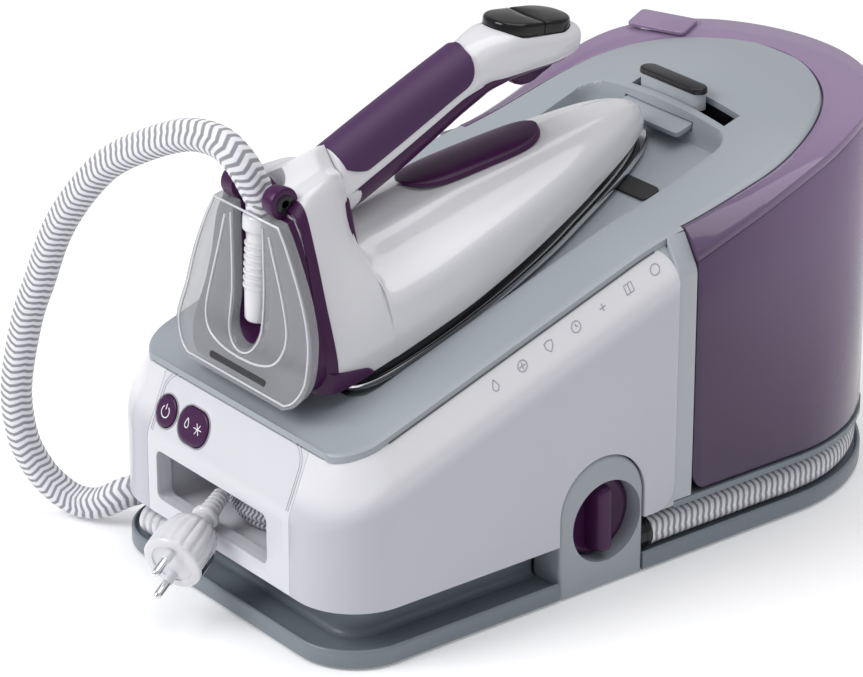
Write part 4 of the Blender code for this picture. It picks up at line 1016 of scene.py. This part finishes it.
rows = refined(STATIONS[:4], 8) + refined(STATIONS[3:], 8)[1:]
shell = loft("iron.shell", [shell_ring(row) for row in rows], "white_gloss", iron, sharp=60.0)
heel = [(45.0, 14.0), (52.0, 19.5), (54.0, 31.0), (50.0, 50.0), (44.0, 71.0), (38.0, 94.0), (30.0, 108.0)]
rings = []
for half, n in refined(heel, 7):
    rear, front = between(n, STAND_BACK) + STAND_THICK + FIT, heel_face(n)
    rings.append([(-half, rear, n), (half, rear, n), (half + 1.0, front, n), (-half - 1.0, front, n)])
heel_plate = loft("heel.plate", rings, "plum", iron, sharp=30.0)
slot_line = arc((0, 46.0), 13.5, 180, 360, 24) + [(13.5, 120.0), (-13.5, 120.0)]
slot = [[(x, s, n) for x, n in slot_line] for s in (-70.0, 5.0)]
carve(heel_plate, loft("slot", slot, "rubber", iron))
soften(heel_plate, 1.0, 3, 50.0, 40.0)
reach = [(-6.0, 12.0), (90.0, 12.0)]
carve(shell, turned("clearance", reach, BOOT_LOW, BOOT_HIGH - BOOT_LOW, "rubber", iron, 64))
soften(shell, 1.4, 3, 48.0, 45.0)
piece(shell, "iron", "iron_shell")
piece(heel_plate, "iron", "heel_plate")
rim = refined(STATIONS[:2], 10)[:7]
inner_rows, outer_rows = [shell_ring(row, -1.5) for row in rim], [shell_ring(row, 0.9) for row in rim]
rings = [
    [row[i] for row in outer_rows] + [row[i] for row in reversed(inner_rows)]
    for i in range(len(inner_rows[0]))
]
rim_band = loft("heel.rim", rings, "plum", iron, sharp=40.0)
soften(rim_band, 0.4, 2, 50.0, 40.0)
piece(rim_band, "iron")
BAND_FOOT = 12.4
BOSS = [(0.0, 8.6), (8.6, 9.6), (9.6, 9.2), (10.2, 8.0), (10.2, 6.2)]
INSERT = [(9.0, 6.0), (10.6, 5.6), (11.0, 4.6), (11.0, 2.6), (10.2, 2.2), (10.2, 0.4)]
for side, sign in SIDES:
    rings = []
    for i in range(25):
        t = i / 24  # from the middle of the heel to the band's tip on the flank
        round_corner = math.radians(90 * min(1.0, t * 1.15))
        x = sign * (44.0 + 17.4 * math.sin(round_corner))
        s = -26.5 + 17.0 * (1 - math.cos(round_corner)) + 30.0 * max(0.0, t - 0.5)
        tall = 18.0 * (1 - t) ** 0.8 + 0.5
        lean = HEEL_LEAN * (tall + 4.0)
        rings.append([
            (x * 0.90, s + 3.0, BAND_FOOT),
            (x + sign * 0.4, s, BAND_FOOT),
            (x + sign * 0.9, s + lean * 0.5, BAND_FOOT + tall * 0.5),
            (x + sign * 0.3, s + lean * 0.9, BAND_FOOT + tall),
            (x * 0.90, s + lean + 3.0, BAND_FOOT + tall),
        ])
    piece(loft(f"heel.band.{side}", rings, "plum", iron, sharp=40.0), "iron")
    start = (sign * 14.4, 4.0, 116.0)
    piece(turned(f"heel.boss.{side}", BOSS, start, (sign, 0, 0), "plum", iron, 48), "iron")
    piece(turned(f"heel.insert.{side}", INSERT, start, (sign, 0, 0), "graphite", iron, 40), "iron")

ridge = [(80.0, 68.8), (108.0, 65.8), (136.0, 60.8), (175.0, 52.8), (206.0, 46.8)]
top, low = [], []
for i in range(41):
    s = 92.0 + 100.0 * i / 40
    half = 18.0 * math.sqrt(max(0.02, 1 - (2 * i / 40 - 1) ** 4))
    row = []
    for j in range(21):
        x = -1 + j / 10
        edge = smooth_step(abs(x), 0.82, 1.0)
        row.append((x * half, s, between(s, ridge) - 0.0124 * (x * half) ** 2, edge))
    top.append([(x, s, n + 2.6 - 1.2 * edge) for x, s, n, edge in row])
    low.append([(x, s, n + 1.2 - 1.2 * edge) for x, s, n, edge in row])
inlay = [top_row + list(reversed(low_row)) for top_row, low_row in zip(top, low)]
piece(loft("inlay", inlay, "plum", iron, sharp=60.0), "iron", "top_inlay")


# ---------------------------------------------------------------- handle
def handle_ring(s, n, tilt, tall, wide, start=0.0, end=360.0, steps=56, inside=None, square=2.0):
    """A section of the handle, or of a pad on it from start to end degrees whose inner side is inside."""
    direction = math.radians(tilt)
    up = Vector((0, -math.sin(direction), math.cos(direction)))

    def point(a, b, angle):
        c, d = math.cos(angle), math.sin(angle)
        k = (abs(c) ** square + abs(d) ** square) ** (-1 / square)
        return Vector((b * c * k, s, n)) + up * (a * d * k)

    whole = inside is None
    count = steps if whole else steps + 1
    angles = [math.radians(start + (end - start) * i / steps) for i in range(count)]
    ring = [point(tall, wide, angle) for angle in angles]
    if not whole:
        ring += [point(inside[0], inside[1], angle) for angle in reversed(angles)]
    return ring


HANDLE = [
    # place along the sole, height, tilt, half height, half width
    (46.5, 95.0, -15.1, 17.6, 15.0),
    (54.0, 95.8, 2.0, 17.8, 15.0),
    (60.0, 96.5, 7.0, 17.9, 15.0),
    (84.0, 99.5, 7.5, 17.8, 15.0),
    (112.0, 103.5, 8.0, 16.8, 15.0),
    (136.0, 107.0, 7.8, 15.6, 15.0),
    (157.0, 109.4, 5.0, 15.2, 15.0),
    (168.0, 109.9, -4.0, 16.2, 17.6),
    (176.1, 109.6, -13.0, 15.8, 19.4),
    (186.1, 106.9, -21.0, 14.5, 20.4),
    (198.9, 102.8, -24.0, 13.0, 20.6),
    (211.8, 98.7, -24.0, 11.5, 20.4),
    (225.1, 95.0, -24.0, 9.5, 17.5),
    (230.0, 94.2, -24.0, 6.0, 12.5),
]


def handle_rings():
    """The core, filled out to the grip's own width where the two pads leave it bare."""
    found = []
    for s, n, tilt, tall, wide in refined(HANDLE, 8):
        squarer = 2.0 + 1.1 * smooth_step(s, 150.0, 182.0) + 0.3 * (1 - smooth_step(s, 46.0, 70.0))
        fuller = 1.9 * (1 - smooth_step(s, 150.0, 172.0))
        lower = 2.4 * (1 - smooth_step(s, 44.0, 62.0))
        found.append(handle_ring(s, n, tilt, tall + fuller + lower, wide + fuller, square=squarer))
    return found


handle = loft("handle", handle_rings(), "white_gloss", iron, sharp=50.0)
soften(handle, 1.2, 3, 55.0, 45.0)
on_pad = tilted((0.0, 204.2, 114.7), -24.0)
on_trigger = tilted((0.0, 208.0, 86.0), -13.0)
pocket = loft("pocket", [flat(centred(17.7, 27.5, 16.0, 14), n) for n in (-4.0, 12.0)], "rubber", on_pad)


def trigger_pocket():
    return block("pocket", (-9.2, -30.5, -12.0), (9.2, 3.0, 7.0), on_trigger)


carve(handle, pocket, trigger_pocket())
piece(handle, "iron", "handle_shell")

GRIP_RUN = [
    # place along the sole, height, tilt, half height over the core
    (54.0, 95.8, 4.0, 21.8),
    (84.0, 99.5, 7.5, 21.8),
    (112.0, 103.5, 8.0, 20.8),
    (136.0, 107.0, 7.8, 19.6),
    (157.0, 109.4, 5.0, 19.0),
]
run = refined(GRIP_RUN, 14)
rings = []
for i, (s, n, tilt, tall) in enumerate(run):
    t = i / (len(run) - 1)
    front = max(0.0, (t - 0.80) / 0.20)
    rear = max(0.0, 1 - t / 0.10)
    spread = 78.0 * math.sqrt(max(0.0, 1 - front**2.6)) * (1 - 0.30 * rear**1.5) + 6.0
    rings.append(handle_ring(s, n, tilt, tall, 17.9, 90 - spread, 90 + spread, 44, (tall - 3.6, 15.6)))
grip = loft("grip", rings, "plum_soft", iron, sharp=40.0)
soften(grip, 0.7, 3, 50.0, 40.0)
piece(grip, "iron", "handle_grip")
run = refined([(47.0, 94.8, -8.0, 20.4)] + GRIP_RUN, 14)
rings = []
for i, (s, n, tilt, tall) in enumerate(run):
    t = i / (len(run) - 1)
    spread = 81.0 - 10.0 * smooth_step(t, 0.8, 1.0)
    rings.append(handle_ring(s, n, tilt, tall, 17.0, 270 - spread, 270 + spread, 34, (tall - 3.6, 15.6)))
strip = loft("underside", rings, "plum", iron, sharp=40.0)
soften(strip, 0.7, 3, 50.0, 40.0)
piece(strip, "iron", "handle_underside")
TAIL_LINE = [(58.0, 30.0), (66.0, 27.4), (76.0, 24.6), (88.0, 21.4), (100.0, 18.0)]
for side, sign in SIDES:
    tail = []
    for i in range(21):
        t = i / 20
        n, narrowing = 92.0 - 26.0 * t, (1 - t) ** 0.6
        x, s, wide = between(n, TAIL_LINE), 26.3 + HEEL_LEAN * (n - 20.0), 7 * narrowing
        ring = [(x - wide - 0.3, s + 0.9), (x - 1.2, s + 1.1), (x + 0.6, s + 0.2), (x + 1.3, s - 1.6)]
        ring += [(x + 1.6, s - 6 * narrowing - 2.0), (x - 1.0, s - 6 * narrowing - 2.0)]
        ring += [(x - wide - 0.3, s - 2.0)]
        tail.append([(sign * u, v, n) for u, v in ring])
    piece(loft(f"underside.tail.{side}", tail, "plum", iron, sharp=50.0), "iron")
FRONT_STRIP = [
    # place along the sole, height, tilt, half height, half width, spread in degrees to each side
    (155.0, 109.2, 5.4, 18.8, 17.2, 73.0),
    (163.0, 109.8, 0.0, 18.2, 17.8, 66.0),
    (171.0, 109.9, -8.0, 17.4, 18.8, 60.0),
    (180.0, 108.8, -16.5, 15.8, 20.2, 56.0),
    (190.0, 105.7, -22.0, 14.4, 20.9, 54.0),
    (200.0, 102.5, -24.0, 13.3, 21.0, 52.0),
    (211.8, 98.7, -24.0, 11.9, 20.7, 50.0),
    (221.0, 96.2, -24.0, 10.4, 18.6, 46.0),
    (227.0, 94.8, -24.0, 8.4, 15.6, 34.0),
]
rings = []
for s, n, tilt, tall, wide, spread in refined(FRONT_STRIP, 6):
    square = 2.0 + 1.0 * smooth_step(s, 157.0, 185.0)
    inner = (tall - 2.4, wide - 2.0)
    rings.append(handle_ring(s, n, tilt, tall, wide, 270 - spread, 270 + spread, 28, inner, square))
front_strip = loft("underside.front", rings, "plum", iron, sharp=50.0)
carve(front_strip, trigger_pocket())
piece(front_strip, "iron")


def cap_part(low, high):
    """The part between two lines of the oval cap, its end rounded."""
    found = []
    for x, s in centred(17.2, 27.0, 15.5, 18):
        p = (x, min(max(s, low), high))
        if not found or (Vector(p) - Vector(found[-1])).length > 0.05:
            found.append(p)
    return found


mode = plate("mode.key", cap_part(-27.0, -0.3), -2.6, 4.4, "glass_black", on_pad, 2.2, 1.0)
piece(mode, "mode_button", "mode_button")
display = plate("display", cap_part(0.3, 27.0), -2.6, 4.4, "glass_black", on_pad, 2.2, 1.0)
piece(display, "iron", "display_panel")

side_view = [(2.0, 1.6), (-13.0, 3.6), (-27.0, 4.4), (-28.6, 2.0), (-29.0, -1.0), (-26.5, -5.0)]
side_view += [(-22.0, -7.0), (-16.0, -7.2), (-12.0, -6.4), (-6.0, -3.8), (0.0, -2.0), (2.2, -0.4)]
rings = []
for x, grow in ((-8.5, 0.90), (-8.0, 0.97), (-7.0, 1.0), (7.0, 1.0), (8.0, 0.97), (8.5, 0.90)):
    rings.append([(x, -13.5 + (y + 13.5) * grow, -1.0 + (z + 1.0) * grow) for y, z in side_view])
piece(loft("trigger", rings, "plum", on_trigger, sharp=40.0), "trigger", "steam_trigger")

# ---------------------------------------------------------------- heel stand and hose boot
STAND_SIDE = [(46.0, 14.0), (57.0, 19.5), (64.0, 31.0), (61.0, 50.0), (54.0, 71.0), (42.0, 94.0)]
STAND_SIDE += [(32.0, 109.0)]
stand_rows = refined(STAND_SIDE, 8)
rings = []
for half, n in stand_rows:
    back = between(n, STAND_BACK)
    front = back + STAND_THICK
    rings.append([(-half, back, n), (half, back, n), (half - 0.6, front, n), (0.6 - half, front, n)])
stand = loft("stand", rings, "smoke_clear", iron, sharp=30.0)
carve(stand, loft("slot", slot, "rubber", iron))
soften(stand, 1.6, 4, 40.0, 40.0)
piece(stand, "iron", "heel_stand")


def stand_line(name, outline, radius, closed=False):
    """A raised bead on the back of the stand, coloured bright as a painted highlight along the clear
    plastic's edges.
    """
    beads = [(x, between(n, STAND_BACK) - 0.15, n) for x, n in outline]
    line(name, beads + beads[:1] if closed else beads, radius, "painted_edge_highlight", "iron", iron)


right_edge = [(half * 0.955, n + (1.5 if n < 30 else 0.0)) for half, n in stand_rows[2:]]
stand_line("stand.edge", right_edge + [(-x, n) for x, n in reversed(right_edge)], 0.7, True)
rises = (58.0, 70.0, 85.0, 95.0, 104.0)
slot_edge = [(-15.4, n) for n in reversed(rises)] + arc((0, 46.0), 15.4, 180, 360, 24)
stand_line("stand.slot.edge", slot_edge + [(15.4, n) for n in rises], 0.65)
drop = [(21.0, 101.0), (27.0, 84.0), (33.5, 66.0), (38.0, 50.0), (37.0, 40.0), (30.0, 32.5), (16.0, 28.6)]
drop = refined(drop + [(0.0, 27.6)], 5)
stand_line("stand.drop", drop + [(-x, n) for x, n in reversed(drop[:-1])], 0.8)
# a dark bar across the stand's back: partly the black rest pad seen through it, partly painted shadow in the
# slit
outline = rounded_rectangle((-27.0, 20.4), (27.0, 23.6), 1.5, 5)
bar = [[(x, between(n, STAND_BACK) + depth, n) for x, n in outline] for depth in (-0.25, 0.75)]
piece(loft("stand.bar", bar, "graphite", iron), "iron")

end = (BOOT_HIGH - BOOT_LOW).length
profile = [(0.0, 5.0), (0.6, 6.6), (2.4, 7.8), (10.0, 8.1), (18.0, 8.5), (20.0, 8.8)]
for i in range(7):
    at = 21.0 + 4.2 * i
    profile += [(at, 9.3), (at + 0.4, 9.6), (at + 1.5, 9.6), (at + 1.9, 9.3)]
    profile += [(at + 2.3, 8.6), (at + 3.8, 8.6)]
profile += [(end - 10.5, 9.2), (end - 9.4, 10.8), (end - 8.6, 11.3), (end - 1.4, 11.2), (end - 0.4, 10.8)]
profile += [(end, 9.8)]
boot = turned("boot", profile, BOOT_LOW, BOOT_HIGH - BOOT_LOW, "white_gloss", iron, 56, 50.0)
piece(boot, "iron", "hose_boot")

# ---------------------------------------------------------------- pads in the recess
PADS = {"front": (14.0, 47.0, -9.5, 12.0), "rear": (22.0, 54.0, 217.0, 231.0)}
for side, sign in SIDES:
    for place, (inner_x, outer_x, low_s, high_s) in PADS.items():
        x0, x1 = sorted((sign * inner_x, sign * outer_x))
        outline = rounded_rectangle((x0, low_s), (x1, high_s), 4.0)
        pad = plate(f"pad.{place}.{side}", outline, -1.7, -0.3, "rubber", iron, 0.5)
        piece(pad, "base", f"rest_pad_{place}_{side}")

# ---------------------------------------------------------------- steam hose
reach_x = HALF_WIDTH - HOSE_INSET
boot_end = iron(BOOT_HIGH)
route = [(reach_x, y, HOSE_Z) for y in (0.2, 20.0, 60.0, 95.0)]
route += [(x, y, HOSE_Z) for x, y in arc((0, BACK_CENTRE_Y), reach_x, 0, 180, 12)]
route += [(-reach_x, y, HOSE_Z) for y in (95.0, 30.0, -40.0, -110.0)]
route += [(-reach_x, -160.0, HOSE_Z + 0.4), (-107.3, -184.0, 22.2), (-112.5, -202.0, 24.6)]
route += [(-121.5, -215.0, 20.6), (-134.0, -225.0, 12.0), (-147.0, -232.5, 10.6)]
route += [(-157.0, -240.0, 17.0), (-165.0, -248.0, 30.0), (-170.0, -255.5, 52.0)]
route += [(-171.5, -257.5, 85.0), (-163.5, -253.2, 129.5), (-153.0, -249.1, 159.0)]
route += [(-138.0, -245.3, 194.2), (-117.0, -239.0, 225.7), (-92.0, -231.3, 250.7)]
route += [(-50.0, -218.7, 273.5), (-24.0, -210.8, 277.2), (-8.0, -205.3, 267.8)]
route += [boot_end + Vector((0, 0, 8.0))]
hose_path = through(route, 1.3) + [boot_end + Vector((0, 0, 0.9))]


def weave(pitch, depth):
    """How far a braid's chevrons sink below its surface, by the turn and the length."""

    def relief(turn, along):
        wave = abs(((abs((turn * CHEVRONS) % 1.0 - 0.5) + along / pitch) % 1.0) - 0.5) * 2
        return depth * smooth_step(wave, 0.15, 0.5) - depth

    return relief


def cord_length(path):
    return round(sum((b - a).length for a, b in zip(path, path[1:])) * MM, 3)


hose = tube("hose", hose_path, 9.5, "hose_braid", 64, weave(HOSE_PITCH, 0.28))
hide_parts("steam_hose")
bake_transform(hose)
cord_length(hose_path)
profile = [(0.0, 9.4), (0.4, 9.9), (6.0, 9.9), (6.6, 10.4), (8.6, 10.4), (10.0, 9.9)]
start = (reach_x, TOWER_Y + TOWER_HALF + FIT, HOSE_Z)
piece(turned("hose.gland", profile, start, (0, 1, 0), "graphite", sides=56), "base", "hose_gland")
profile = []
for i in range(6):
    p = 6.6 * i
    profile += [(p, 8.2), (p + 0.5, 9.1), (p + 1.2, 9.6), (p + 4.2, 9.6), (p + 4.9, 9.1), (p + 5.4, 8.2)]
start = (-88.0, -HALF_LENGTH + HOSE_INSET, HOSE_Z)
clip = turned("hose.clip", profile, start, (1, 0, 0), "white_gloss", sides=40)
piece(clip, "base", "hose_clip")

# ---------------------------------------------------------------- mains cord, coiled, and its plug
PLUG_CENTRE = Vector((0.0, -255.0, 47.0))
PLUG_AXIS = Vector((0.385, -0.868, -0.321)).normalized()
COIL_CENTRE = Vector((-5.0, -163.0, 52.9))
COIL_MEAN = 38.0
SPACING = 7.1
ENTRY, LEAVE = 168.0, 196.0
# where the turns lie about the coil's middle line: three beside it, one on it, and three more beside it
angles = (0, -60, -120, None, 180, 120, 60)
beds = [
    (0.0, 0.0) if a is None else (SPACING * math.cos(math.radians(a)), SPACING * math.sin(math.radians(a)))
    for a in angles
]
loops = []
for turn in range(6):
    first = ENTRY if turn == 0 else LEAVE
    begin = 30.0 + 45.0 * (5 - turn)
    for i in range(120):
        angle = first + (360.0 + LEAVE - first) * i / 120
        move = smooth_step(angle - LEAVE, begin, begin + 42.0)
        out = beds[turn][0] + (beds[turn + 1][0] - beds[turn][0]) * move
        up = beds[turn][1] + (beds[turn + 1][1] - beds[turn][1]) * move
        a = math.radians(angle)
        reach = COIL_MEAN + out
        loops.append(COIL_CENTRE + Vector((reach * math.cos(a), reach * math.sin(a), up)))
gland_end = Vector((COIL_CENTRE.x - COIL_MEAN - 9.0, -129.8, COIL_CENTRE.z))
plug_end = PLUG_CENTRE - PLUG_AXIS * 45.3
route = [gland_end, gland_end - Vector((0.0, 6.0, 0.0)), Vector((-51.2, -145.0, COIL_CENTRE.z))]
route += loops
route += [Vector((-37.5, -188.5, 63.5)), Vector((-28.5, -198.0, 66.3)), plug_end - PLUG_AXIS * 10.0]
route += [plug_end - PLUG_AXIS * 5.0, plug_end]
mains_path = through(route, 1.6)
mains = tube("mains", mains_path, 3.5, "cord_braid", 20, weave(CORD_PITCH, 0.12))
piece(mains, "base", ["mains_coil", "mains_cord"])

profile = [(-16.0, 8.6), (-15.6, 9.5), (-14.6, 11.8), (-13.0, 14.0), (-9.0, 15.9), (-4.0, 17.2), (0.0, 18.1)]
profile += [(4.0, 18.5), (9.0, 18.5), (13.0, 18.5), (14.6, 18.4), (15.5, 18.0), (16.0, 17.2), (16.0, 13.0)]
profile += [(15.2, 12.6)]
flutes = (-13.0, 13.0, 18, 0.9)
plug = turned("plug", profile, PLUG_CENTRE, PLUG_AXIS, "white_gloss", sides=96, sharp=40.0, flutes=flutes)
piece(plug, "base", "plug_body")
profile = [(15.9, 8.2), (16.6, 8.4), (17.4, 7.6), (22.0, 7.0), (22.6, 7.6), (23.2, 8.2), (25.8, 8.2)]
profile += [(26.4, 7.6), (27.0, 6.2)]
for i in range(5):
    p, less = 28.5 + 3.2 * i, 0.22 * i
    profile += [(p, 6.1 - less), (p + 0.4, 5.4 - less), (p + 1.3, 5.4 - less), (p + 1.7, 6.0 - less)]
profile += [(44.6, 4.8), (45.0, 4.4)]
boot_piece = turned("plug.boot", profile, PLUG_CENTRE, -PLUG_AXIS, "white_gloss", sides=48, sharp=50.0)
piece(boot_piece, "base", "plug_boot")
across = Vector((0.283, -0.220, 0.933))
across = (across - across.dot(PLUG_AXIS) * PLUG_AXIS).normalized()
third = PLUG_AXIS.cross(across)
for side, sign in (("lower", -1), ("upper", 1)):
    start = PLUG_CENTRE + PLUG_AXIS * 14.8 + across * (9.5 * sign)
    profile = [(0.0, 2.4), (17.4, 2.4), (18.6, 2.2), (19.9, 1.6), (20.5, 0.8)]
    pin = turned(f"pin.{side}", profile, start, PLUG_AXIS, "steel", sides=32, sharp=50.0)
    piece(pin, "base", f"plug_pin_{side}")
    profile = [(0.0, 3.0), (7.0, 3.0), (7.6, 2.5), (7.6, 2.3)]
    sleeve = turned(f"pin.sleeve.{side}", profile, start, PLUG_AXIS, "panel_white", sides=32, sharp=50.0)
    piece(sleeve, "base")
for i, sign in enumerate((-1, 1)):
    contact = PLUG_CENTRE + third * (17.6 * sign) + PLUG_AXIS * 7.0
    rings = [
        [contact + across * u + PLUG_AXIS * v + third * (w * sign) for u, v in centred(2.6, 7.5, 0.8, 4)]
        for w in (-0.9, 1.1)
    ]
    piece(loft(f"plug.earth.{i}", rings, "steel", sharp=40.0), "base")
cord_length(mains_path)
profile = [(0.0, 7.6), (0.4, 8.0), (3.0, 8.0), (3.6, 7.4), (5.0, 5.6), (10.0, 4.9), (15.0, 4.4), (15.5, 4.1)]
gland = turned("mains.gland", profile, (gland_end.x, -114.3, COIL_CENTRE.z), (0, -1, 0), "graphite", sides=40)
piece(gland, "base", "mains_gland")

# ---------------------------------------------------------------- lines on the body
def side_point(sign, y, share):
    """On the leaning band of the side, between its crease and the deck."""
    lean = DECK_INSET - 0.3
    top = deck_top(sign * (HALF_WIDTH - lean), y) - DECK_THICK - 2 * FIT
    crease = crease_height(y)
    return Vector((sign * (HALF_WIDTH - lean * share), y, crease + (top - crease) * share))


# painted shade: a dark line where the deck meets the shell stands for the shade in the gap between them
for side, sign in SIDES:
    seam = [side_point(sign, -188.0 + 8.0 * i, 1.0) + Vector((0, 0, 0.25)) for i in range(25)]
    line(f"deck.seam.{side}", seam, 0.42, "seam", "base")


def icon(index, y, shapes):
    """A small printed sign on the leaning band: each shape is a line of (along, up) points."""
    middle = side_point(1, y, 0.60)
    along = (side_point(1, y + 5.0, 0.60) - side_point(1, y - 5.0, 0.60)).normalized()
    up = (side_point(1, y, 0.9) - side_point(1, y, 0.3)).normalized()
    for i, shape in enumerate(shapes):
        line(f"icon.{index}.{i}", [middle + along * u + up * v for u, v in shape], 0.30, "icon_grey", "base")


circle = arc((0, 0), 3.2, 0, 360, 20)
drop = [(0.0, 3.6), (1.6, 0.8), (2.2, -1.2), (1.0, -3.0), (-1.0, -3.0), (-2.2, -1.2), (-1.6, 0.8), (0.0, 3.6)]
shield = [(-2.8, 2.6), (0.0, 3.4), (2.8, 2.6), (2.6, -0.4), (0.0, -3.4), (-2.6, -0.4), (-2.8, 2.6)]
square = [(-2.8, -2.8), (2.8, -2.8), (2.8, 2.8), (-2.8, 2.8), (-2.8, -2.8)]
stem = [(0.0, -2.8), (0.0, 2.8)]
cross = [[(-2.2, 0.0), (2.2, 0.0)], [(0.0, -2.2), (0.0, 2.2)]]
hands = [[(0.0, 0.0), (0.0, 1.8)], [(0.0, 0.0), (1.4, 0.0)]]
signs = [[drop], [circle] + cross, [shield], [circle] + hands, cross, [square, stem], [circle]]
for index, shapes in enumerate(signs):
    icon(index, -117.0 + 19.5 * index, shapes)


def panel_point(x, z):
    """On the outside of the front, upright below the crease and leaning back above it."""
    soft = 5.0
    past = z - CREASE_FRONT
    if past <= -soft:
        return Vector((x, -HALF_LENGTH, z))
    if past < soft:
        t = (past + soft) / (2 * soft)
        return Vector((x, -HALF_LENGTH + FACE_RUN * soft * t * t, z))
    return Vector((x, -HALF_LENGTH + FACE_RUN * past, z))


# painted shade: grey double lines along the raised border of the front panel
for name, grow in (("inner", 0.0), ("outer", 1.7)):
    side_x, high_z, corner = 66.0 + grow, 122.6 + grow, 12.0 + grow
    flat_x = side_x - corner
    outline = [(-side_x, 88.0 + 4.0 * i) for i in range(5)]
    outline += arc((-flat_x, high_z - corner), corner, 180, 90, 14)
    outline += [(-flat_x + 2 * flat_x * i / 10, high_z) for i in range(1, 10)]
    outline += arc((flat_x, high_z - corner), corner, 90, 0, 14)
    outline += [(side_x, 104.0 - 4.0 * i) for i in range(5)]
    line(f"panel.line.{name}", [panel_point(x, z) for x, z in outline], 0.28, "soft_seam_shade", "base")

# ---------------------------------------------------------------- floor, light and air
FAR, UNDER = 6000, -0.4
ground = make(
    "floor",
    [(-FAR, -FAR, UNDER), (FAR, -FAR, UNDER), (FAR, FAR, UNDER), (-FAR, FAR, UNDER)],
    [(0, 1, 2, 3)],
    "floor_white",
)
glow = FINISHES["floor_white"].node_tree.nodes["Principled BSDF"].inputs
glow["Emission Color"].default_value = (1.0, 1.0, 1.0, 1.0)
glow["Emission Strength"].default_value = 0.16


def lamp(name, place, target, size, power):
    light = bpy.data.lights.new(name, "AREA")
    light.shape = "RECTANGLE"
    light.size, light.size_y = size
    light.energy = power
    obj = bpy.data.objects.new(name, light)
    obj.location = place
    obj.rotation_euler = (Vector(target) - Vector(place)).to_track_quat("-Z", "Y").to_euler()
    bpy.context.scene.collection.objects.link(obj)


lamp("key", (-0.7, -1.9, 1.7), (0, 0, 0.12), (1.3, 1.3), 38.0)
lamp("over", (0.2, 0.3, 2.4), (0, 0, 0.1), (2.0, 2.0), 26.0)
lamp("right", (2.3, 0.2, 1.0), (0, 0, 0.12), (1.0, 1.6), 1.0)
world = bpy.data.worlds.new("air")
world.use_nodes = True
air = world.node_tree.nodes["Background"].inputs
air["Color"].default_value = (0.98, 0.98, 1.0, 1.0)
air["Strength"].default_value = 0.46
bpy.context.scene.world = world
bpy.context.scene.view_settings.view_transform = "Standard"

# ---------------------------------------------------------------- the pieces kept as they are
for name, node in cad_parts.items():
    if node.hide_render or not node.material_slots:
        continue
    for held in node.material_slots:
        wanted = held.material.name.split(".")[0] if held.material else "deck_grey"
        held.material = FINISHES.get(wanted, FINISHES["deck_grey"])
